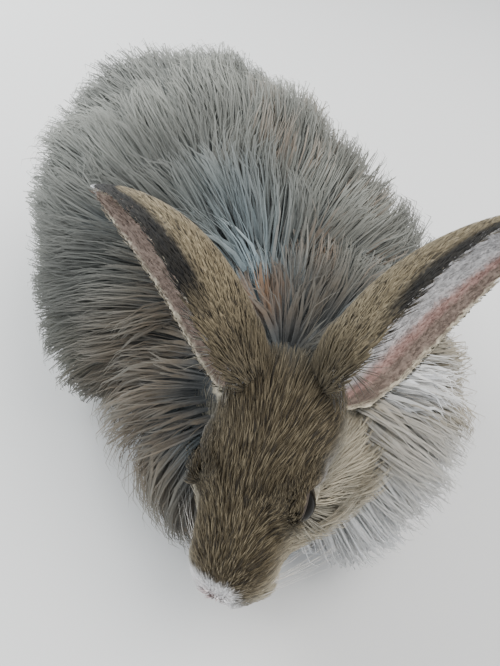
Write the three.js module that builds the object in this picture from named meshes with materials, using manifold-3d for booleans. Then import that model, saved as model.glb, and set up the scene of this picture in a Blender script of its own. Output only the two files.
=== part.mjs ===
// An angora rabbit at life size, crouching in full coat with its head low and its ears held wide.
// Millimetres, +Z up. The rabbit faces -Y and its left side is +X. The floor is z = 0.
import * as THREE from "three";
import { mergeVertices } from "three/addons/utils/BufferGeometryUtils.js";
import Module from "manifold-3d";

const wasm = await Module();
wasm.setup();

// Driving sizes
const GAP = 0.3; // clear space between touching parts
const HEAD_FRONT = -57; // nose tip and back of the skull, in the head's own frame
const HEAD_BACK = 46;
const HEAD_AT = [-36, -174, 102]; // the head's origin, midway between the eyes and a little behind
const HEAD_TURN = [-40, 22, -10]; // turned to its right, nose down, tilted to its right, in degrees
const EYE_RADIUS = 8.5;
const EYE_AT = [18.6, -9, 2.5]; // left eye in the head's frame
const EAR_LENGTH = 114;
const EAR_THICK = 3;
const EAR_ARCH = 7; // the back of each ear arches by this much
const COAT_OUT = 25; // from the wool's dense core to the tips
const LOCK_LENGTH = 66;
const LOCK_WIDTH = 29;
const LOCK_THICK = 8;
const LOCK_SPACING = 29;
const LOCK_SIDES = 3; // a flat underside and a low ridge
const LOCK_STEPS = 4;
const LOCK_SINK = 6; // a lock's root lies this deep in the core
const WHORL = [-8, -128, 150]; // the nape, from which the wool streams away
const FLOOR_CLEAR = 2.5; // the lowest wool stays this far above the floor

// Seeded random numbers, so that each build is the same
let seed = 20417;
function random() {
  seed = (seed * 1664525 + 1013904223) % 4294967296;
  return seed / 4294967296;
}
const vary = (value, share) => value * (1 + share * (2 * random() - 1));

const vec = (x, y, z) => new THREE.Vector3(x, y, z);
const radians = THREE.MathUtils.degToRad;

// A smooth curve through rows of [position, value, value...]: each column is read at one position.
function profile(rows) {
  return (at) => {
    const last = rows.length - 2;
    let i = 0;
    while (i < last && at > rows[i + 1][0]) i++;
    const [a, b] = [rows[i], rows[i + 1]];
    const t = THREE.MathUtils.clamp((at - a[0]) / (b[0] - a[0]), 0, 1);
    const before = rows[Math.max(i - 1, 0)];
    const after = rows[Math.min(i + 2, last + 1)];
    return a.slice(1).map((v, k) => {
      const step = b[0] - a[0];
      const slopeA = ((b[k + 1] - before[k + 1]) / (b[0] - before[0])) * step;
      const slopeB = ((after[k + 1] - v) / (after[0] - a[0])) * step;
      const h = t * t * (3 - 2 * t);
      const rise = t * (1 - t) * (1 - t) * slopeA;
      const fall = t * t * (t - 1) * slopeB;
      return v * (1 - h) + b[k + 1] * h + rise + fall;
    });
  };
}

// A closed surface made from a sphere: place(along, turn) gives the point at a share along the body and a turn round it.
function swollen(place, rings, sides) {
  const g = new THREE.SphereGeometry(1, sides, rings);
  const at = g.attributes.position;
  for (let i = 0; i < at.count; i++) {
    const polar = Math.acos(THREE.MathUtils.clamp(at.getY(i), -1, 1));
    const p = place(polar / Math.PI, Math.atan2(at.getZ(i), at.getX(i)));
    at.setXYZ(i, p.x, p.y, p.z);
  }
  return g;
}

// Moves each vertex outwards by a distance
function grow(g, distance) {
  const merged = bare(g);
  merged.computeVertexNormals();
  const at = merged.attributes.position;
  const n = merged.attributes.normal;
  for (let i = 0; i < at.count; i++) {
    at.setXYZ(
      i,
      at.getX(i) + n.getX(i) * distance,
      at.getY(i) + n.getY(i) * distance,
      at.getZ(i) + n.getZ(i) * distance,
    );
  }
  return merged;
}

// The geometry with only its positions, shared vertices merged, its faces pointing out
function bare(g) {
  const copy = g.clone();
  copy.deleteAttribute("normal");
  copy.deleteAttribute("uv");
  const merged = mergeVertices(copy, 1e-3);
  const at = merged.attributes.position;
  const [a, b, c] = [vec(), vec(), vec()];
  let volume = 0;
  for (let i = 0; i < merged.index.count; i += 3) {
    a.fromBufferAttribute(at, merged.index.getX(i));
    b.fromBufferAttribute(at, merged.index.getX(i + 1));
    c.fromBufferAttribute(at, merged.index.getX(i + 2));
    volume += a.dot(b.cross(c));
  }
  if (volume < 0) {
    const order = merged.index.array;
    for (let i = 0; i < order.length; i += 3)
      [order[i], order[i + 1]] = [order[i + 1], order[i]];
  }
  return merged;
}

// A geometry as a solid for joining and cutting
function solid(g) {
  const merged = bare(g);
  const order = [];
  for (let i = 0; i < merged.index.count; i += 3) {
    const face = [0, 1, 2].map((k) => merged.index.getX(i + k));
    if (new Set(face).size === 3) order.push(...face);
  }
  return new wasm.Manifold(
    new wasm.Mesh({
      numProp: 3,
      vertProperties: new Float32Array(merged.attributes.position.array),
      triVerts: new Uint32Array(order),
    }),
  );
}

const joined = (solids) => wasm.Manifold.union(solids);

// The largest closed body of a solid, without loose scraps or sealed hollows
function largest(made) {
  const bodies = made.decompose().filter((b) => b.volume() > 0);
  return bodies.reduce((a, b) => (a.volume() > b.volume() ? a : b));
}

function geometryOf(made) {
  const m = made.getMesh();
  const at = new Float32Array(m.numVert * 3);
  for (let i = 0; i < m.numVert; i++)
    at.set(m.vertProperties.subarray(i * m.numProp, i * m.numProp + 3), i * 3);
  return new THREE.BufferGeometry()
    .setAttribute("position", new THREE.BufferAttribute(at, 3))
    .setIndex(new THREE.BufferAttribute(new Uint32Array(m.triVerts), 1));
}

// A ball drawn out to three radii
function ball(at, radii, sides = 20, rings = 14) {
  return new THREE.SphereGeometry(1, sides, rings)
    .scale(...radii)
    .translate(...at);
}

// A rounded limb through points of [x, y, z, half width, half height]
function limb(points, rings, sides, blunt = 0.42) {
  const rows = points.map((p, i) => [i / (points.length - 1), ...p]);
  const read = profile(rows);
  return swollen(
    (along, turn) => {
      const u = 2 * along - 1;
      const [x, y, z, w, h] = read(along);
      const [x2, y2, z2] = read(Math.min(along + 0.01, 1));
      const [x1, y1, z1] = read(Math.max(along - 0.01, 0));
      const way = vec(x2 - x1, y2 - y1, z2 - z1).normalize();
      const side = vec(0, 0, 1).cross(way).normalize();
      const up = way.clone().cross(side);
      const round = Math.pow(Math.max(1 - u * u, 0), blunt);
      return vec(x, y, z)
        .addScaledVector(side, w * round * Math.cos(turn))
        .addScaledVector(up, h * round * Math.sin(turn));
    },
    rings,
    sides,
  );
}

// HEAD. Rows are [y, half width, axis height, height above the axis, depth below it] before the ends are rounded.
const headRows = profile([
  [-57, 19, -17, 16, 15],
  [-45, 21, -17, 22, 18.6],
  [-30, 20.6, -15, 25, 22.8],
  [-12, 23, -12, 28, 29],
  [8, 28, -10, 32.5, 33.8],
  [28, 31, -9, 37, 34.6],
  [46, 32, -9, 40, 31],
]);
// Soft swellings of the head: [x, y, z, height, radius], alike on both sides
const headSwellings = [
  [12, -47, -21, 3.2, 9], // whisker pads
  [22, 8, -24, 3.6, 17], // cheeks
  [18, -8, 14, 2.2, 9], // brows
  [22, -9, 2, 1.8, 11], // round the eyes
  [0, -38, -33, 2.5, 9], // chin
];
const HEAD_ROUND = 0.32;
const HEAD_SQUARE = 2.3;

function headPoint(along, turn) {
  const middle = (HEAD_FRONT + HEAD_BACK) / 2;
  const half = (HEAD_BACK - HEAD_FRONT) / 2;
  const u = -Math.cos(Math.PI * along);
  const y = middle + half * u;
  const [w, axis, up, down] = headRows(y);
  const round = Math.pow(Math.max(1 - u * u, 0), HEAD_ROUND);
  const [c, s] = [Math.cos(turn), Math.sin(turn)];
  const squared = (v) => Math.sign(v) * Math.pow(Math.abs(v), 2 / HEAD_SQUARE);
  const x = w * round * squared(c);
  const z = (s > 0 ? up : down) * round * squared(s);
  const p = vec(x, y, axis + z);
  const out = vec(x, 0, z).normalize();
  for (const [bx, by, bz, height, radius] of headSwellings) {
    for (const side of bx ? [1, -1] : [1]) {
      const far = p.distanceTo(vec(bx * side, by, bz)) / radius;
      p.addScaledVector(out, height * Math.exp(-far * far));
    }
  }
  return p;
}

// Carries a geometry from the head's own frame to the rabbit's
const headPose = new THREE.Matrix4()
  .makeRotationZ(radians(HEAD_TURN[0]))
  .multiply(new THREE.Matrix4().makeRotationX(radians(HEAD_TURN[1])))
  .multiply(new THREE.Matrix4().makeRotationY(radians(HEAD_TURN[2])))
  .setPosition(...HEAD_AT);
const headInverse = headPose.clone().invert();
const onHead = (g) => g.applyMatrix4(headPose);

// A groove or ridge of round section along points in the head's frame
function line(points, radius, steps, closed = false) {
  const section = new THREE.Shape().absarc(0, 0, radius, 0, 2 * Math.PI);
  const way = new THREE.CatmullRomCurve3(
    points.map((p) => vec(...p)),
    closed,
  );
  const form = { steps, curveSegments: 3, bevelEnabled: false, extrudePath: way };
  return onHead(new THREE.ExtrudeGeometry(section, form));
}

const skull = (extra = 0) => onHead(grow(swollen(headPoint, 24, 28), extra));

function eyeBall(side, extra = 0) {
  const radius = EYE_RADIUS + extra;
  const at = [EYE_AT[0] * side, EYE_AT[1], EYE_AT[2]];
  return onHead(ball(at, [radius, radius, radius], 16, 11));
}

// The rim of both lids: an almond ring that hugs the eyeball
const LID_FORE = 8;
const LID_UP = 6.2;
const LID_TILT = radians(14);
const LID_RADIUS = 1.3;
function lids(side, extra = 0) {
  const points = [];
  const corners = 10;
  for (let i = 0; i < corners; i++) {
    const a = (i / corners) * 2 * Math.PI;
    const [fore, up] = [LID_FORE * Math.cos(a), LID_UP * Math.sin(a)];
    const out = Math.sqrt((EYE_RADIUS - 0.4) ** 2 - Math.min(fore * fore + up * up, 66));
    points.push([
      (EYE_AT[0] + Math.max(out, 3.6)) * side,
      EYE_AT[1] + fore * Math.cos(LID_TILT) - up * Math.sin(LID_TILT),
      EYE_AT[2] + fore * Math.sin(LID_TILT) + up * Math.cos(LID_TILT),
    ]);
  }
  return line(points, LID_RADIUS + extra, 18, true);
}

// Grooves of one side: the mouth runs back from below the nose, the nostril slants up and out
const mouthLine = (side) => [
  [0, -56, -26.5],
  [5 * side, -54.5, -27.5],
  [11 * side, -49, -29],
  [17 * side, -41, -28.5],
];
const nostril = (side) => [
  [1.2 * side, -58.5, -15.5],
  [3.6 * side, -57.2, -13],
  [6.2 * side, -55, -12],
];
const lipCleft = [
  [0, -59, -16],
  [0, -57.6, -21],
  [0, -55.5, -26.5],
];

function makeHead() {
  const cuts = [line(lipCleft, 0.7, 4)];
  for (const side of [1, -1]) {
    cuts.push(eyeBall(side, GAP));
    cuts.push(line(mouthLine(side), 0.8, 8));
    cuts.push(line(nostril(side), 1.1, 4));
  }
  const flesh = joined([skull(), lids(1), lids(-1)].map(solid));
  return largest(flesh.subtract(joined(cuts.map(solid))));
}

// EARS. Rows are [share of the length, width laid flat, half angle of the cup in degrees].
const earRows = profile([
  [0, 60, 126],
  [0.1, 71, 109],
  [0.24, 79, 101],
  [0.42, 77, 93],
  [0.62, 65, 86],
  [0.8, 46, 79],
  [0.93, 24, 72],
  [1, 6, 60],
]);
// In the head's frame each ear grows from root along way, its cup opens towards gape,
// and its middle bends towards the other ear by bow
const earWays = {
  left: { root: [13, 40, 12.5], way: [0.565, 0.82, 0.08], gape: [0.8, -0.57, 0.18], bow: 2 },
  right: { root: [-13, 33, 14], way: [-0.86, 0.42, 0.3], gape: [-0.42, -0.89, 0.17], bow: 14 },
};

function ear({ root, way, gape, bow }, extra = 0) {
  const along = vec(...way).normalize();
  const open = vec(...gape);
  open.addScaledVector(along, -open.dot(along)).normalize();
  const across = along.clone().cross(open);
  const inward = Math.sign(-across.x * root[0]);
  const g = new THREE.BoxGeometry(1, 1, 1, 12, 1, 12);
  const at = g.attributes.position;
  for (let i = 0; i < at.count; i++) {
    const s = at.getZ(i) + 0.5;
    const [width, halfAngle] = earRows(s);
    const angle = radians(halfAngle) * 2 * at.getX(i);
    const radius = width / (2 * radians(halfAngle));
    const edge = 1 - 0.45 * Math.pow(Math.abs(2 * at.getX(i)), 3);
    const r = radius - at.getY(i) * EAR_THICK * edge * (1 - 0.4 * s);
    const bent = Math.sin(Math.PI * s);
    const p = vec(...root)
      .addScaledVector(along, s * EAR_LENGTH)
      .addScaledVector(open, radius * 0.6 - r * Math.cos(angle) - EAR_ARCH * bent)
      .addScaledVector(across, r * Math.sin(angle) + bow * inward * bent);
    at.setXYZ(i, p.x, p.y, p.z);
  }
  return onHead(grow(g, extra));
}

const makeEar = (spec) => largest(solid(ear(spec)).subtract(solid(skull(GAP))));

// CORES of the wool. The torso's rows are read like the head's, and end with its middle's x.
const TORSO_FRONT = -140;
const TORSO_BACK = 146;
const TORSO_ROUND = 0.5;
const torsoRows = profile([
  [-140, 86, 72, 66, 52, 0],
  [-70, 92, 70, 78, 56, 0],
  [0, 84, 69, 82, 58, -9],
  [60, 76, 68, 83, 58, -13],
  [146, 65, 66, 78, 54, -13],
]);

function torsoPoint(along, turn) {
  const middle = (TORSO_FRONT + TORSO_BACK) / 2;
  const half = (TORSO_BACK - TORSO_FRONT) / 2;
  const u = -Math.cos(Math.PI * along);
  const y = middle + half * u;
  const [w, axis, up, down, x] = torsoRows(y);
  const round = Math.pow(Math.max(1 - u * u, 0), TORSO_ROUND);
  const z = Math.sin(turn) * (turn > 0 ? up : down);
  return vec(x + w * round * Math.cos(turn), y, axis + z * round);
}

const neck = { at: [2, -116, 68], radii: [68, 66, 60] };
const tail = { at: [0, 140, 80], radii: [22, 18, 28] };
const thigh = (side) => ({ at: [57 * side, 56, 54], radii: [40, 58, 42] });

const pointOf = (body) => (along, turn) => {
  const round = Math.sin(Math.PI * along);
  return vec(
    body.at[0] + body.radii[0] * round * Math.cos(turn),
    body.at[1] - body.radii[1] * Math.cos(Math.PI * along),
    body.at[2] + body.radii[2] * round * Math.sin(turn),
  );
};

const torsoCore = (extra = 0) => grow(swollen(torsoPoint, 14, 20), extra);
const coreOf = (body, rings, sides, extra = 0) =>
  grow(swollen(pointOf(body), rings, sides), extra);
const neckCore = (extra) => coreOf(neck, 10, 16, extra);
const tailCore = (extra) => coreOf(tail, 6, 8, extra);
const thighCore = (side, extra) => coreOf(thigh(side), 8, 12, extra);

// Keeps what stands above a level
function above(made, level) {
  const low = new THREE.BoxGeometry(900, 900, 200).translate(0, 0, level - 100);
  return made.subtract(solid(low));
}

// LEGS. Rows are [x, y, z, half width, half height] of the left one.
const foreRows = [
  [34, -72, 60, 17, 17],
  [36, -98, 36, 14, 14],
  [37, -122, 15, 12.5, 12],
  [37, -162, 8, 14, 10],
];
const hindRows = [
  [58, 96, 20, 17, 17],
  [60, 62, 12, 15, 13],
  [62, 20, 9, 14, 10],
  [64, -30, 8, 15, 10],
];
const mirrored = (rows, side) => rows.map(([x, ...more]) => [x * side, ...more]);
const foreleg = (side, extra = 0) => grow(limb(mirrored(foreRows, side), 8, 10), extra);
const hindFoot = (side, extra = 0) =>
  grow(limb(mirrored(hindRows, side), 8, 10, 0.36), extra);

// Four toes with their claws at the end of a paw
const TOE_SPREAD = 21;
const TOE_RADII = [4.4, 9, 6.4];
const CLAW_LENGTH = 10;
const CLAW_RADIUS = 1.7;
function toes(x, y, extra = 0) {
  const made = [];
  for (const share of [-0.5, -1 / 6, 1 / 6, 0.5]) {
    const tx = x + share * TOE_SPREAD;
    const ty = y + 14 * share * share;
    const radii = TOE_RADII.map((r) => r + extra);
    made.push(ball([tx, ty, 6.6], radii, 7, 5));
    const claw = new THREE.ConeGeometry(CLAW_RADIUS + extra, 1, 4, 2);
    const at = claw.attributes.position;
    for (let k = 0; k < at.count; k++) {
      const t = at.getY(k) + 0.5;
      const down = 6.4 - 3 * t * t;
      at.setXYZ(k, tx + at.getX(k), ty - 6 - CLAW_LENGTH * t, down + at.getZ(k));
    }
    made.push(claw);
  }
  return made;
}
const foreToes = (side, extra) => toes(37 * side, -154, extra);
const hindToes = (side, extra) => toes(64 * side, -22, extra);

// LOCKS OF WOOL. A lock is a cone made flat, widest below its middle, bent over the body along its lie.
const lockHalf = profile([
  [0, 0.75],
  [0.25, 1],
  [0.5, 0.82],
  [0.75, 0.44],
  [1, 0],
]);

// Growing a lock moves its sharp side edges and its tip further than its faces
const FACE_GROWTH = 2.2;
const EDGE_GROWTH = 5;
const TIP_GROWTH = 11;

function lock(at, extra = 0) {
  const g = new THREE.ConeGeometry(1, 1, LOCK_SIDES, LOCK_STEPS);
  const p = g.attributes.position;
  for (let i = 0; i < p.count; i++) {
    const t = p.getY(i) + 0.5;
    const size = Math.max(1 - t, 1e-6);
    const tip = t > 0.999;
    const half = (at.width / 2) * lockHalf(t)[0];
    const thick = (at.thick / 2) * Math.pow(size, 0.6);
    const run = at.length * t;
    const lift = at.rise * (1 - (1 - t) * (1 - t)) - (run * run) / (2 * at.bend);
    const slope = (2 * at.rise * (1 - t)) / at.length - run / at.bend;
    const up = at.out.clone().addScaledVector(at.lie, -slope).normalize();
    const onward = at.lie
      .clone()
      .addScaledVector(at.out, slope)
      .addScaledVector(at.side, (2 * at.sweep * t) / at.length);
    onward.z -= (2 * at.droop * t) / at.length;
    onward.normalize();
    const q = at.root
      .clone()
      .addScaledVector(at.lie, run)
      .addScaledVector(at.out, lift)
      .addScaledVector(at.side, at.sweep * t * t);
    if (tip) q.addScaledVector(onward, TIP_GROWTH * extra);
    else {
      q.addScaledVector(at.side, (p.getX(i) / size) * (half + EDGE_GROWTH * extra));
      q.addScaledVector(up, (p.getZ(i) / size) * (thick + FACE_GROWTH * extra));
    }
    q.z = overFloor(q.z - at.droop * t * t);
    p.setXYZ(i, q.x, q.y, q.z);
  }
  return g;
}

// Wool that would meet the floor is laid along it
function overFloor(z) {
  const soft = 14;
  const low = FLOOR_CLEAR + 1;
  return z > soft ? z : low + (soft - low) * Math.exp((z - soft) / (soft - low));
}

// The point of a surface and its outward normal, at a share along it and a turn round it
function surfaceAt(place, along, turn, centre) {
  const step = 0.01;
  const p = place(along, turn);
  const a = place(Math.min(along + step, 0.999), turn).sub(
    place(Math.max(along - step, 0.001), turn),
  );
  const b = place(along, turn + step).sub(place(along, turn - step));
  const out = a.cross(b).normalize();
  if (out.dot(p.clone().sub(centre)) < 0) out.negate();
  return { p, out };
}

// The lie of the coat: along the surface away from the whorl, and down
function lieAt(p, out, down) {
  const way = p.clone().sub(vec(...WHORL)).normalize();
  way.z -= down;
  return way.addScaledVector(out, -way.dot(out)).normalize();
}

// Sets locks in staggered tiers over a surface, where keep(p, out) lets them grow
function tiers(place, centre, size, keep) {
  const made = [];
  const steps = 240;
  const turns = 120;
  let travelled = size.start;
  let tier = 0;
  for (let i = 1; i < steps; i++) {
    const along = i / steps;
    travelled += place(along, 1).distanceTo(place((i - 1) / steps, 1));
    if (travelled < size.spacing) continue;
    travelled = 0;
    tier++;
    const round = [0];
    for (let k = 1; k <= turns; k++) {
      const [here, there] = [k, k - 1].map((n) => place(along, (n / turns) * 2 * Math.PI));
      round.push(round[k - 1] + here.distanceTo(there));
    }
    const count = Math.max(3, Math.round(round[turns] / size.spacing));
    for (let j = 0; j < count; j++) {
      const want = ((j + (tier % 2) / 2 + 0.14 * (random() - 0.5)) / count) * round[turns];
      const k = Math.max(
        round.findIndex((v) => v >= want),
        0,
      );
      const turn = (k / turns) * 2 * Math.PI;
      const signed = turn > Math.PI ? turn - 2 * Math.PI : turn;
      const { p, out } = surfaceAt(place, along, signed, centre);
      const way = lieAt(p, out, size.down);
      const grown = {
        root: p.clone().addScaledVector(out, -LOCK_SINK),
        out,
        lie: way,
        side: out.clone().cross(way),
        length: vary(size.length, 0.14),
        width: vary(size.width, 0.12),
        thick: size.thick,
        rise: vary(size.rise, 0.12) + LOCK_SINK,
        bend: size.bend,
        droop: size.droop * (1 - 0.6 * Math.abs(out.z)),
        sweep: vary(7, 0.6) * (random() < 0.5 ? -1 : 1),
      };
      if (keep(p, out, grown)) made.push(grown);
    }
  }
  return made;
}

const coat = {
  start: 14,
  spacing: LOCK_SPACING,
  length: LOCK_LENGTH,
  width: LOCK_WIDTH,
  thick: LOCK_THICK,
  rise: COAT_OUT + 18,
  bend: 105,
  down: 0.25,
  droop: 6,
};

function inside(p, body, share) {
  const far = [p.x, p.y, p.z].map((v, k) => (v - body.at[k]) / body.radii[k]);
  return Math.hypot(...far) < share;
}

// Whether a lock would lie over the head or in front of the face
function overHead(p, at) {
  return [0.4, 0.8, 1].some((t) => {
    const q = at.root.clone().addScaledVector(at.lie, at.length * t);
    q.addScaledVector(at.out, LOCK_SINK + COAT_OUT * t);
    q.applyMatrix4(headInverse);
    return Math.hypot(q.x / 34, (q.y + 6) / 56, (q.z + 8) / 35) < 1;
  });
}

const torsoLocks = tiers(torsoPoint, vec(0, 0, 70), coat, (p, out) => {
  const buried = [
    [neck, 1.02],
    [tail, 1.05],
    [thigh(1), 0.97],
    [thigh(-1), 0.97],
  ];
  if (out.z < (p.y > 90 ? -0.6 : -0.3) || p.z < (p.y > 90 ? 18 : 24)) return false;
  return !buried.some(([body, share]) => inside(p, body, share));
});

const ruff = { ...coat, spacing: 28, length: 54, width: 28, bend: 72, down: 0.4 };
ruff.rise = COAT_OUT + 12;
ruff.start = 20;
const neckLocks = tiers(pointOf(neck), vec(...neck.at), ruff, (p, out, grown) => {
  if (p.z < 26 || out.z < -0.75 || out.y > (p.z > 100 ? 0.85 : 0.5)) return false;
  return !overHead(p, grown);
});

const thighLocks = (side) => {
  const body = thigh(side);
  const size = { ...coat, length: 56, rise: COAT_OUT + 6, start: 8 };
  return tiers(pointOf(body), vec(...body.at), size, (p) => {
    return p.z > 26 && Math.abs(p.x) > 82;
  });
};

const tailSize = { ...coat, spacing: 19, length: 34, width: 21, thick: 6, rise: 16, bend: 60 };
const tailLocks = tiers(pointOf(tail), vec(...tail.at), { ...tailSize, start: 8 }, (p, out) => {
  return out.y > 0 && p.y > 136;
});

const locksOf = (list, extra = 0) => list.map((at) => solid(lock(at, extra)));
const hindLocks = { left: thighLocks(1), right: thighLocks(-1) };
const sides = { left: 1, right: -1 };

// NODES
function makeForeleg(word) {
  const paw = [foreleg(sides[word]), ...foreToes(sides[word])].map(solid);
  return largest(above(joined(paw), 0));
}

const hindWhole = (word, extra = 0) => [
  solid(thighCore(sides[word], extra)),
  solid(hindFoot(sides[word], extra)),
  ...locksOf(hindLocks[word], extra),
];

function makeHindleg(word) {
  const whole = joined([...hindWhole(word), ...hindToes(sides[word]).map(solid)]);
  return largest(above(whole, 0));
}

const legsGrown = ["left", "right"].flatMap((word) => [
  ...hindWhole(word, GAP),
  ...[foreleg, foreToes, hindToes].flatMap((make) => make(sides[word], GAP)).map(solid),
]);
const headGrown = [
  skull(GAP),
  ear(earWays.left, GAP),
  ear(earWays.right, GAP),
  lids(1, GAP),
  lids(-1, GAP),
  eyeBall(1, GAP),
  eyeBall(-1, GAP),
].map(solid);

function makeNeck() {
  const whole = joined([solid(neckCore(0)), ...locksOf(neckLocks)]);
  const clear = whole.subtract(joined([...headGrown, ...legsGrown]));
  return largest(above(clear, FLOOR_CLEAR));
}

function makeTail() {
  const whole = joined([solid(tailCore(0)), ...locksOf(tailLocks)]);
  return largest(whole.subtract(solid(torsoCore(GAP))));
}

const hindlegs = { left: makeHindleg("left"), right: makeHindleg("right") };
const neckMade = makeNeck();
const tailMade = makeTail();

function makeTorso() {
  const whole = joined([solid(torsoCore()), ...locksOf(torsoLocks)]);
  const neckGrown = [solid(neckCore(GAP)), ...locksOf(neckLocks, GAP)];
  const tailGrown = joined([solid(tailCore(GAP)), ...locksOf(tailLocks, GAP)]);
  const others = joined([
    ...neckGrown,
    ...legsGrown,
    ...headGrown,
    tailGrown.subtract(solid(torsoCore(GAP / 2))),
  ]);
  const met = joined([neckMade, tailMade, hindlegs.left, hindlegs.right]);
  return largest(above(whole.subtract(others).subtract(met), FLOOR_CLEAR));
}

// Colours and finish of each kind of surface
const looks = {
  wool: { color: 0x7f8480, roughness: 0.95 },
  ruff: { color: 0xb9b8a8, roughness: 0.95 },
  face: { color: 0x6f624b, roughness: 0.9 },
  ear: { color: 0x8a7d68, roughness: 0.85 },
  paw: { color: 0xc9c6bd, roughness: 0.9 },
  eye: { color: 0x14100e, roughness: 0.08 },
};

const rabbit = new THREE.Group();
function add(name, made, look) {
  const material = new THREE.MeshStandardMaterial({ metalness: 0, ...looks[look] });
  const mesh = new THREE.Mesh(geometryOf(made), material);
  mesh.name = name;
  rabbit.add(mesh);
}

add("head", makeHead(), "face");
add("neck", neckMade, "ruff");
add("torso", makeTorso(), "wool");
add("tail", tailMade, "wool");
for (const word of ["left", "right"]) {
  add("eye_" + word, solid(eyeBall(sides[word])), "eye");
  add("ear_" + word, makeEar(earWays[word]), "ear");
  add("foreleg_" + word, makeForeleg(word), "paw");
  add("hindleg_" + word, hindlegs[word], "wool");
}

// The origin is on the floor, below the middle of the whole
const box = new THREE.Box3().setFromObject(rabbit);
const middle = box.getCenter(vec(0, 0, 0));
rabbit.position.set(-middle.x, -middle.y, 0);

export default rabbit;
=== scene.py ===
import math

import bpy
import numpy as np
from mathutils import Matrix, Vector
from mathutils.kdtree import KDTree


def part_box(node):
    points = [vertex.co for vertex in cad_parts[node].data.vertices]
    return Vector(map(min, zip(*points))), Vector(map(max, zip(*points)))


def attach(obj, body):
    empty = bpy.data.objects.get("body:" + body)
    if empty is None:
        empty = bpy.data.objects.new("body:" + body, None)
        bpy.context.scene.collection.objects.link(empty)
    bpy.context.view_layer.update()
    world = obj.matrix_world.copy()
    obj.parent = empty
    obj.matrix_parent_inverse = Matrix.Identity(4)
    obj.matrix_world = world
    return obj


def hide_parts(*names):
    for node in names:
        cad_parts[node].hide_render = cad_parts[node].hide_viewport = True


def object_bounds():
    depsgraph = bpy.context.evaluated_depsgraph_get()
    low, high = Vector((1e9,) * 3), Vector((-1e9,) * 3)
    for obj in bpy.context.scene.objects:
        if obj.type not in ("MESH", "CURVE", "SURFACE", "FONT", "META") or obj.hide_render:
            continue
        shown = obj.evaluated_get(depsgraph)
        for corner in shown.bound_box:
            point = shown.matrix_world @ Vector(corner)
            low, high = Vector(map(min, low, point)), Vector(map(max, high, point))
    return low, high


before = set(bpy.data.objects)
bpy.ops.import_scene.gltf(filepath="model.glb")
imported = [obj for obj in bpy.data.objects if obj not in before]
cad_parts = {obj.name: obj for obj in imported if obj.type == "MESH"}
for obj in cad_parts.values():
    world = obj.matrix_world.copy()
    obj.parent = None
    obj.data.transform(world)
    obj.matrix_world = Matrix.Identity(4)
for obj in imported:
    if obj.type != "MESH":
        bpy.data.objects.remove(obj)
bounds_at_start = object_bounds()

# SIZES in millimetres, in the rabbit's frame before the solids' origin was moved
MM = 0.001
HEAD_MIDDLE = -5.5
HEAD_HALF = 51.5
HEAD_ROUND = 0.32
HEAD_SQUARE = 2.3
HEAD_AT = np.array([-36.0, -174.0, 102.0])
HEAD_TURN = [-40, 22, -10]
TORSO_MIDDLE = 3.0
TORSO_HALF = 143.0
NECK = ([2, -116, 68], [68, 66, 60])
TAIL = ([0, 140, 80], [22, 18, 28])
EYE_RADIUS = 8.5
EYE_AT = np.array([18.6, -9.0, 2.5])
LID_FORE = 8
LID_TOP = 6.9
LID_LOW = 6.0
LID_TILT = math.radians(14)
LID_GAP = 0.25
LID_WIDE = 0.95
LID_TALL = 0.6
EAR_LENGTH = 114
EAR_THICK = 3
EAR_ARCH = 7
EAR_SAFE = 4.2
# Shares of an ear's length: where its surface starts in the skull, and where it begins to sink
EAR_ROOT = -0.1
EAR_NECK = 0.1
EAR_SUNK = 0.8
TOE_REACH = 21
CLAW_LENGTH = 9.5
CLAW_RADIUS = 1.6
WHISKERS = 13
WHISKER_REACH = 24
WHISKER_RADIUS = 0.13
SKIN_VOXEL = 1.35
SIDE_REACH = 3.0
FLOOR_CLEAR = 2.5
FLOOR_SOFT = 12
FLOOR_HALF = 6000
BOX_MARGIN = 0.8
BOX_EDGE = 12.0
BOX_EASE = 11.0

# COAT: numbers of tufts, the shares of their length with points, the soft share of their normals
GUIDE_ROOTS = 9000
GUIDE_SPACING = 10.5
WOOL_TUFTS = 44500
WOOL_STEPS = [0, 0.2, 0.48, 0.78, 1]
WOOL_SOFT = 0.82
HEAD_TUFTS = 19000
LID_SEEDS = 90000
EAR_BACK_TUFTS = 6700
EAR_INNER_TUFTS = 3800
PAW_TUFTS = 1500
FUR_DEPTH = 0.9
FUR_STEPS = [0, 0.3, 0.66, 1]
FUR_SOFT = 0.55
PIECE_LIMIT = 190000
PRISM = np.array([[-1.0, -0.35], [1.0, -0.35], [0.0, 0.65]])

random = np.random.default_rng(20417)


# SHAPES
def profile(rows):
    """A smooth curve through rows of [position, value...], read at any positions."""
    rows = np.array(rows, float)
    x = rows[:, 0]
    values = rows[:, 1:]

    def read(at):
        at = np.asarray(at, float)
        i = np.searchsorted(x[1:-1], at, side="left")
        before = np.maximum(i - 1, 0)
        after = np.minimum(i + 2, len(x) - 1)
        step = (x[i + 1] - x[i])[..., None]
        t = np.clip((at - x[i]) / step[..., 0], 0, 1)[..., None]
        slope_a = (values[i + 1] - values[before]) / (x[i + 1] - x[before])[..., None] * step
        slope_b = (values[after] - values[i]) / (x[after] - x[i])[..., None] * step
        h = t * t * (3 - 2 * t)
        rise = t * (1 - t) ** 2 * slope_a
        fall = t * t * (t - 1) * slope_b
        return values[i] * (1 - h) + values[i + 1] * h + rise + fall

    return read


def unit(v):
    return v / np.maximum(np.linalg.norm(v, axis=-1, keepdims=True), 1e-9)


def dot(a, b):
    return np.sum(a * b, axis=-1)


def norm(v):
    return np.linalg.norm(v, axis=-1)


def smooth(low, high, value):
    t = np.clip((value - low) / (high - low), 0, 1)
    return t * t * (3 - 2 * t)


def bump(distance, radius):
    return np.exp(-((distance / radius) ** 2))


def near(p, at, size):
    """1 at a place, falling off round it."""
    return bump(norm(p - np.array(at, float)), size)


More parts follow.
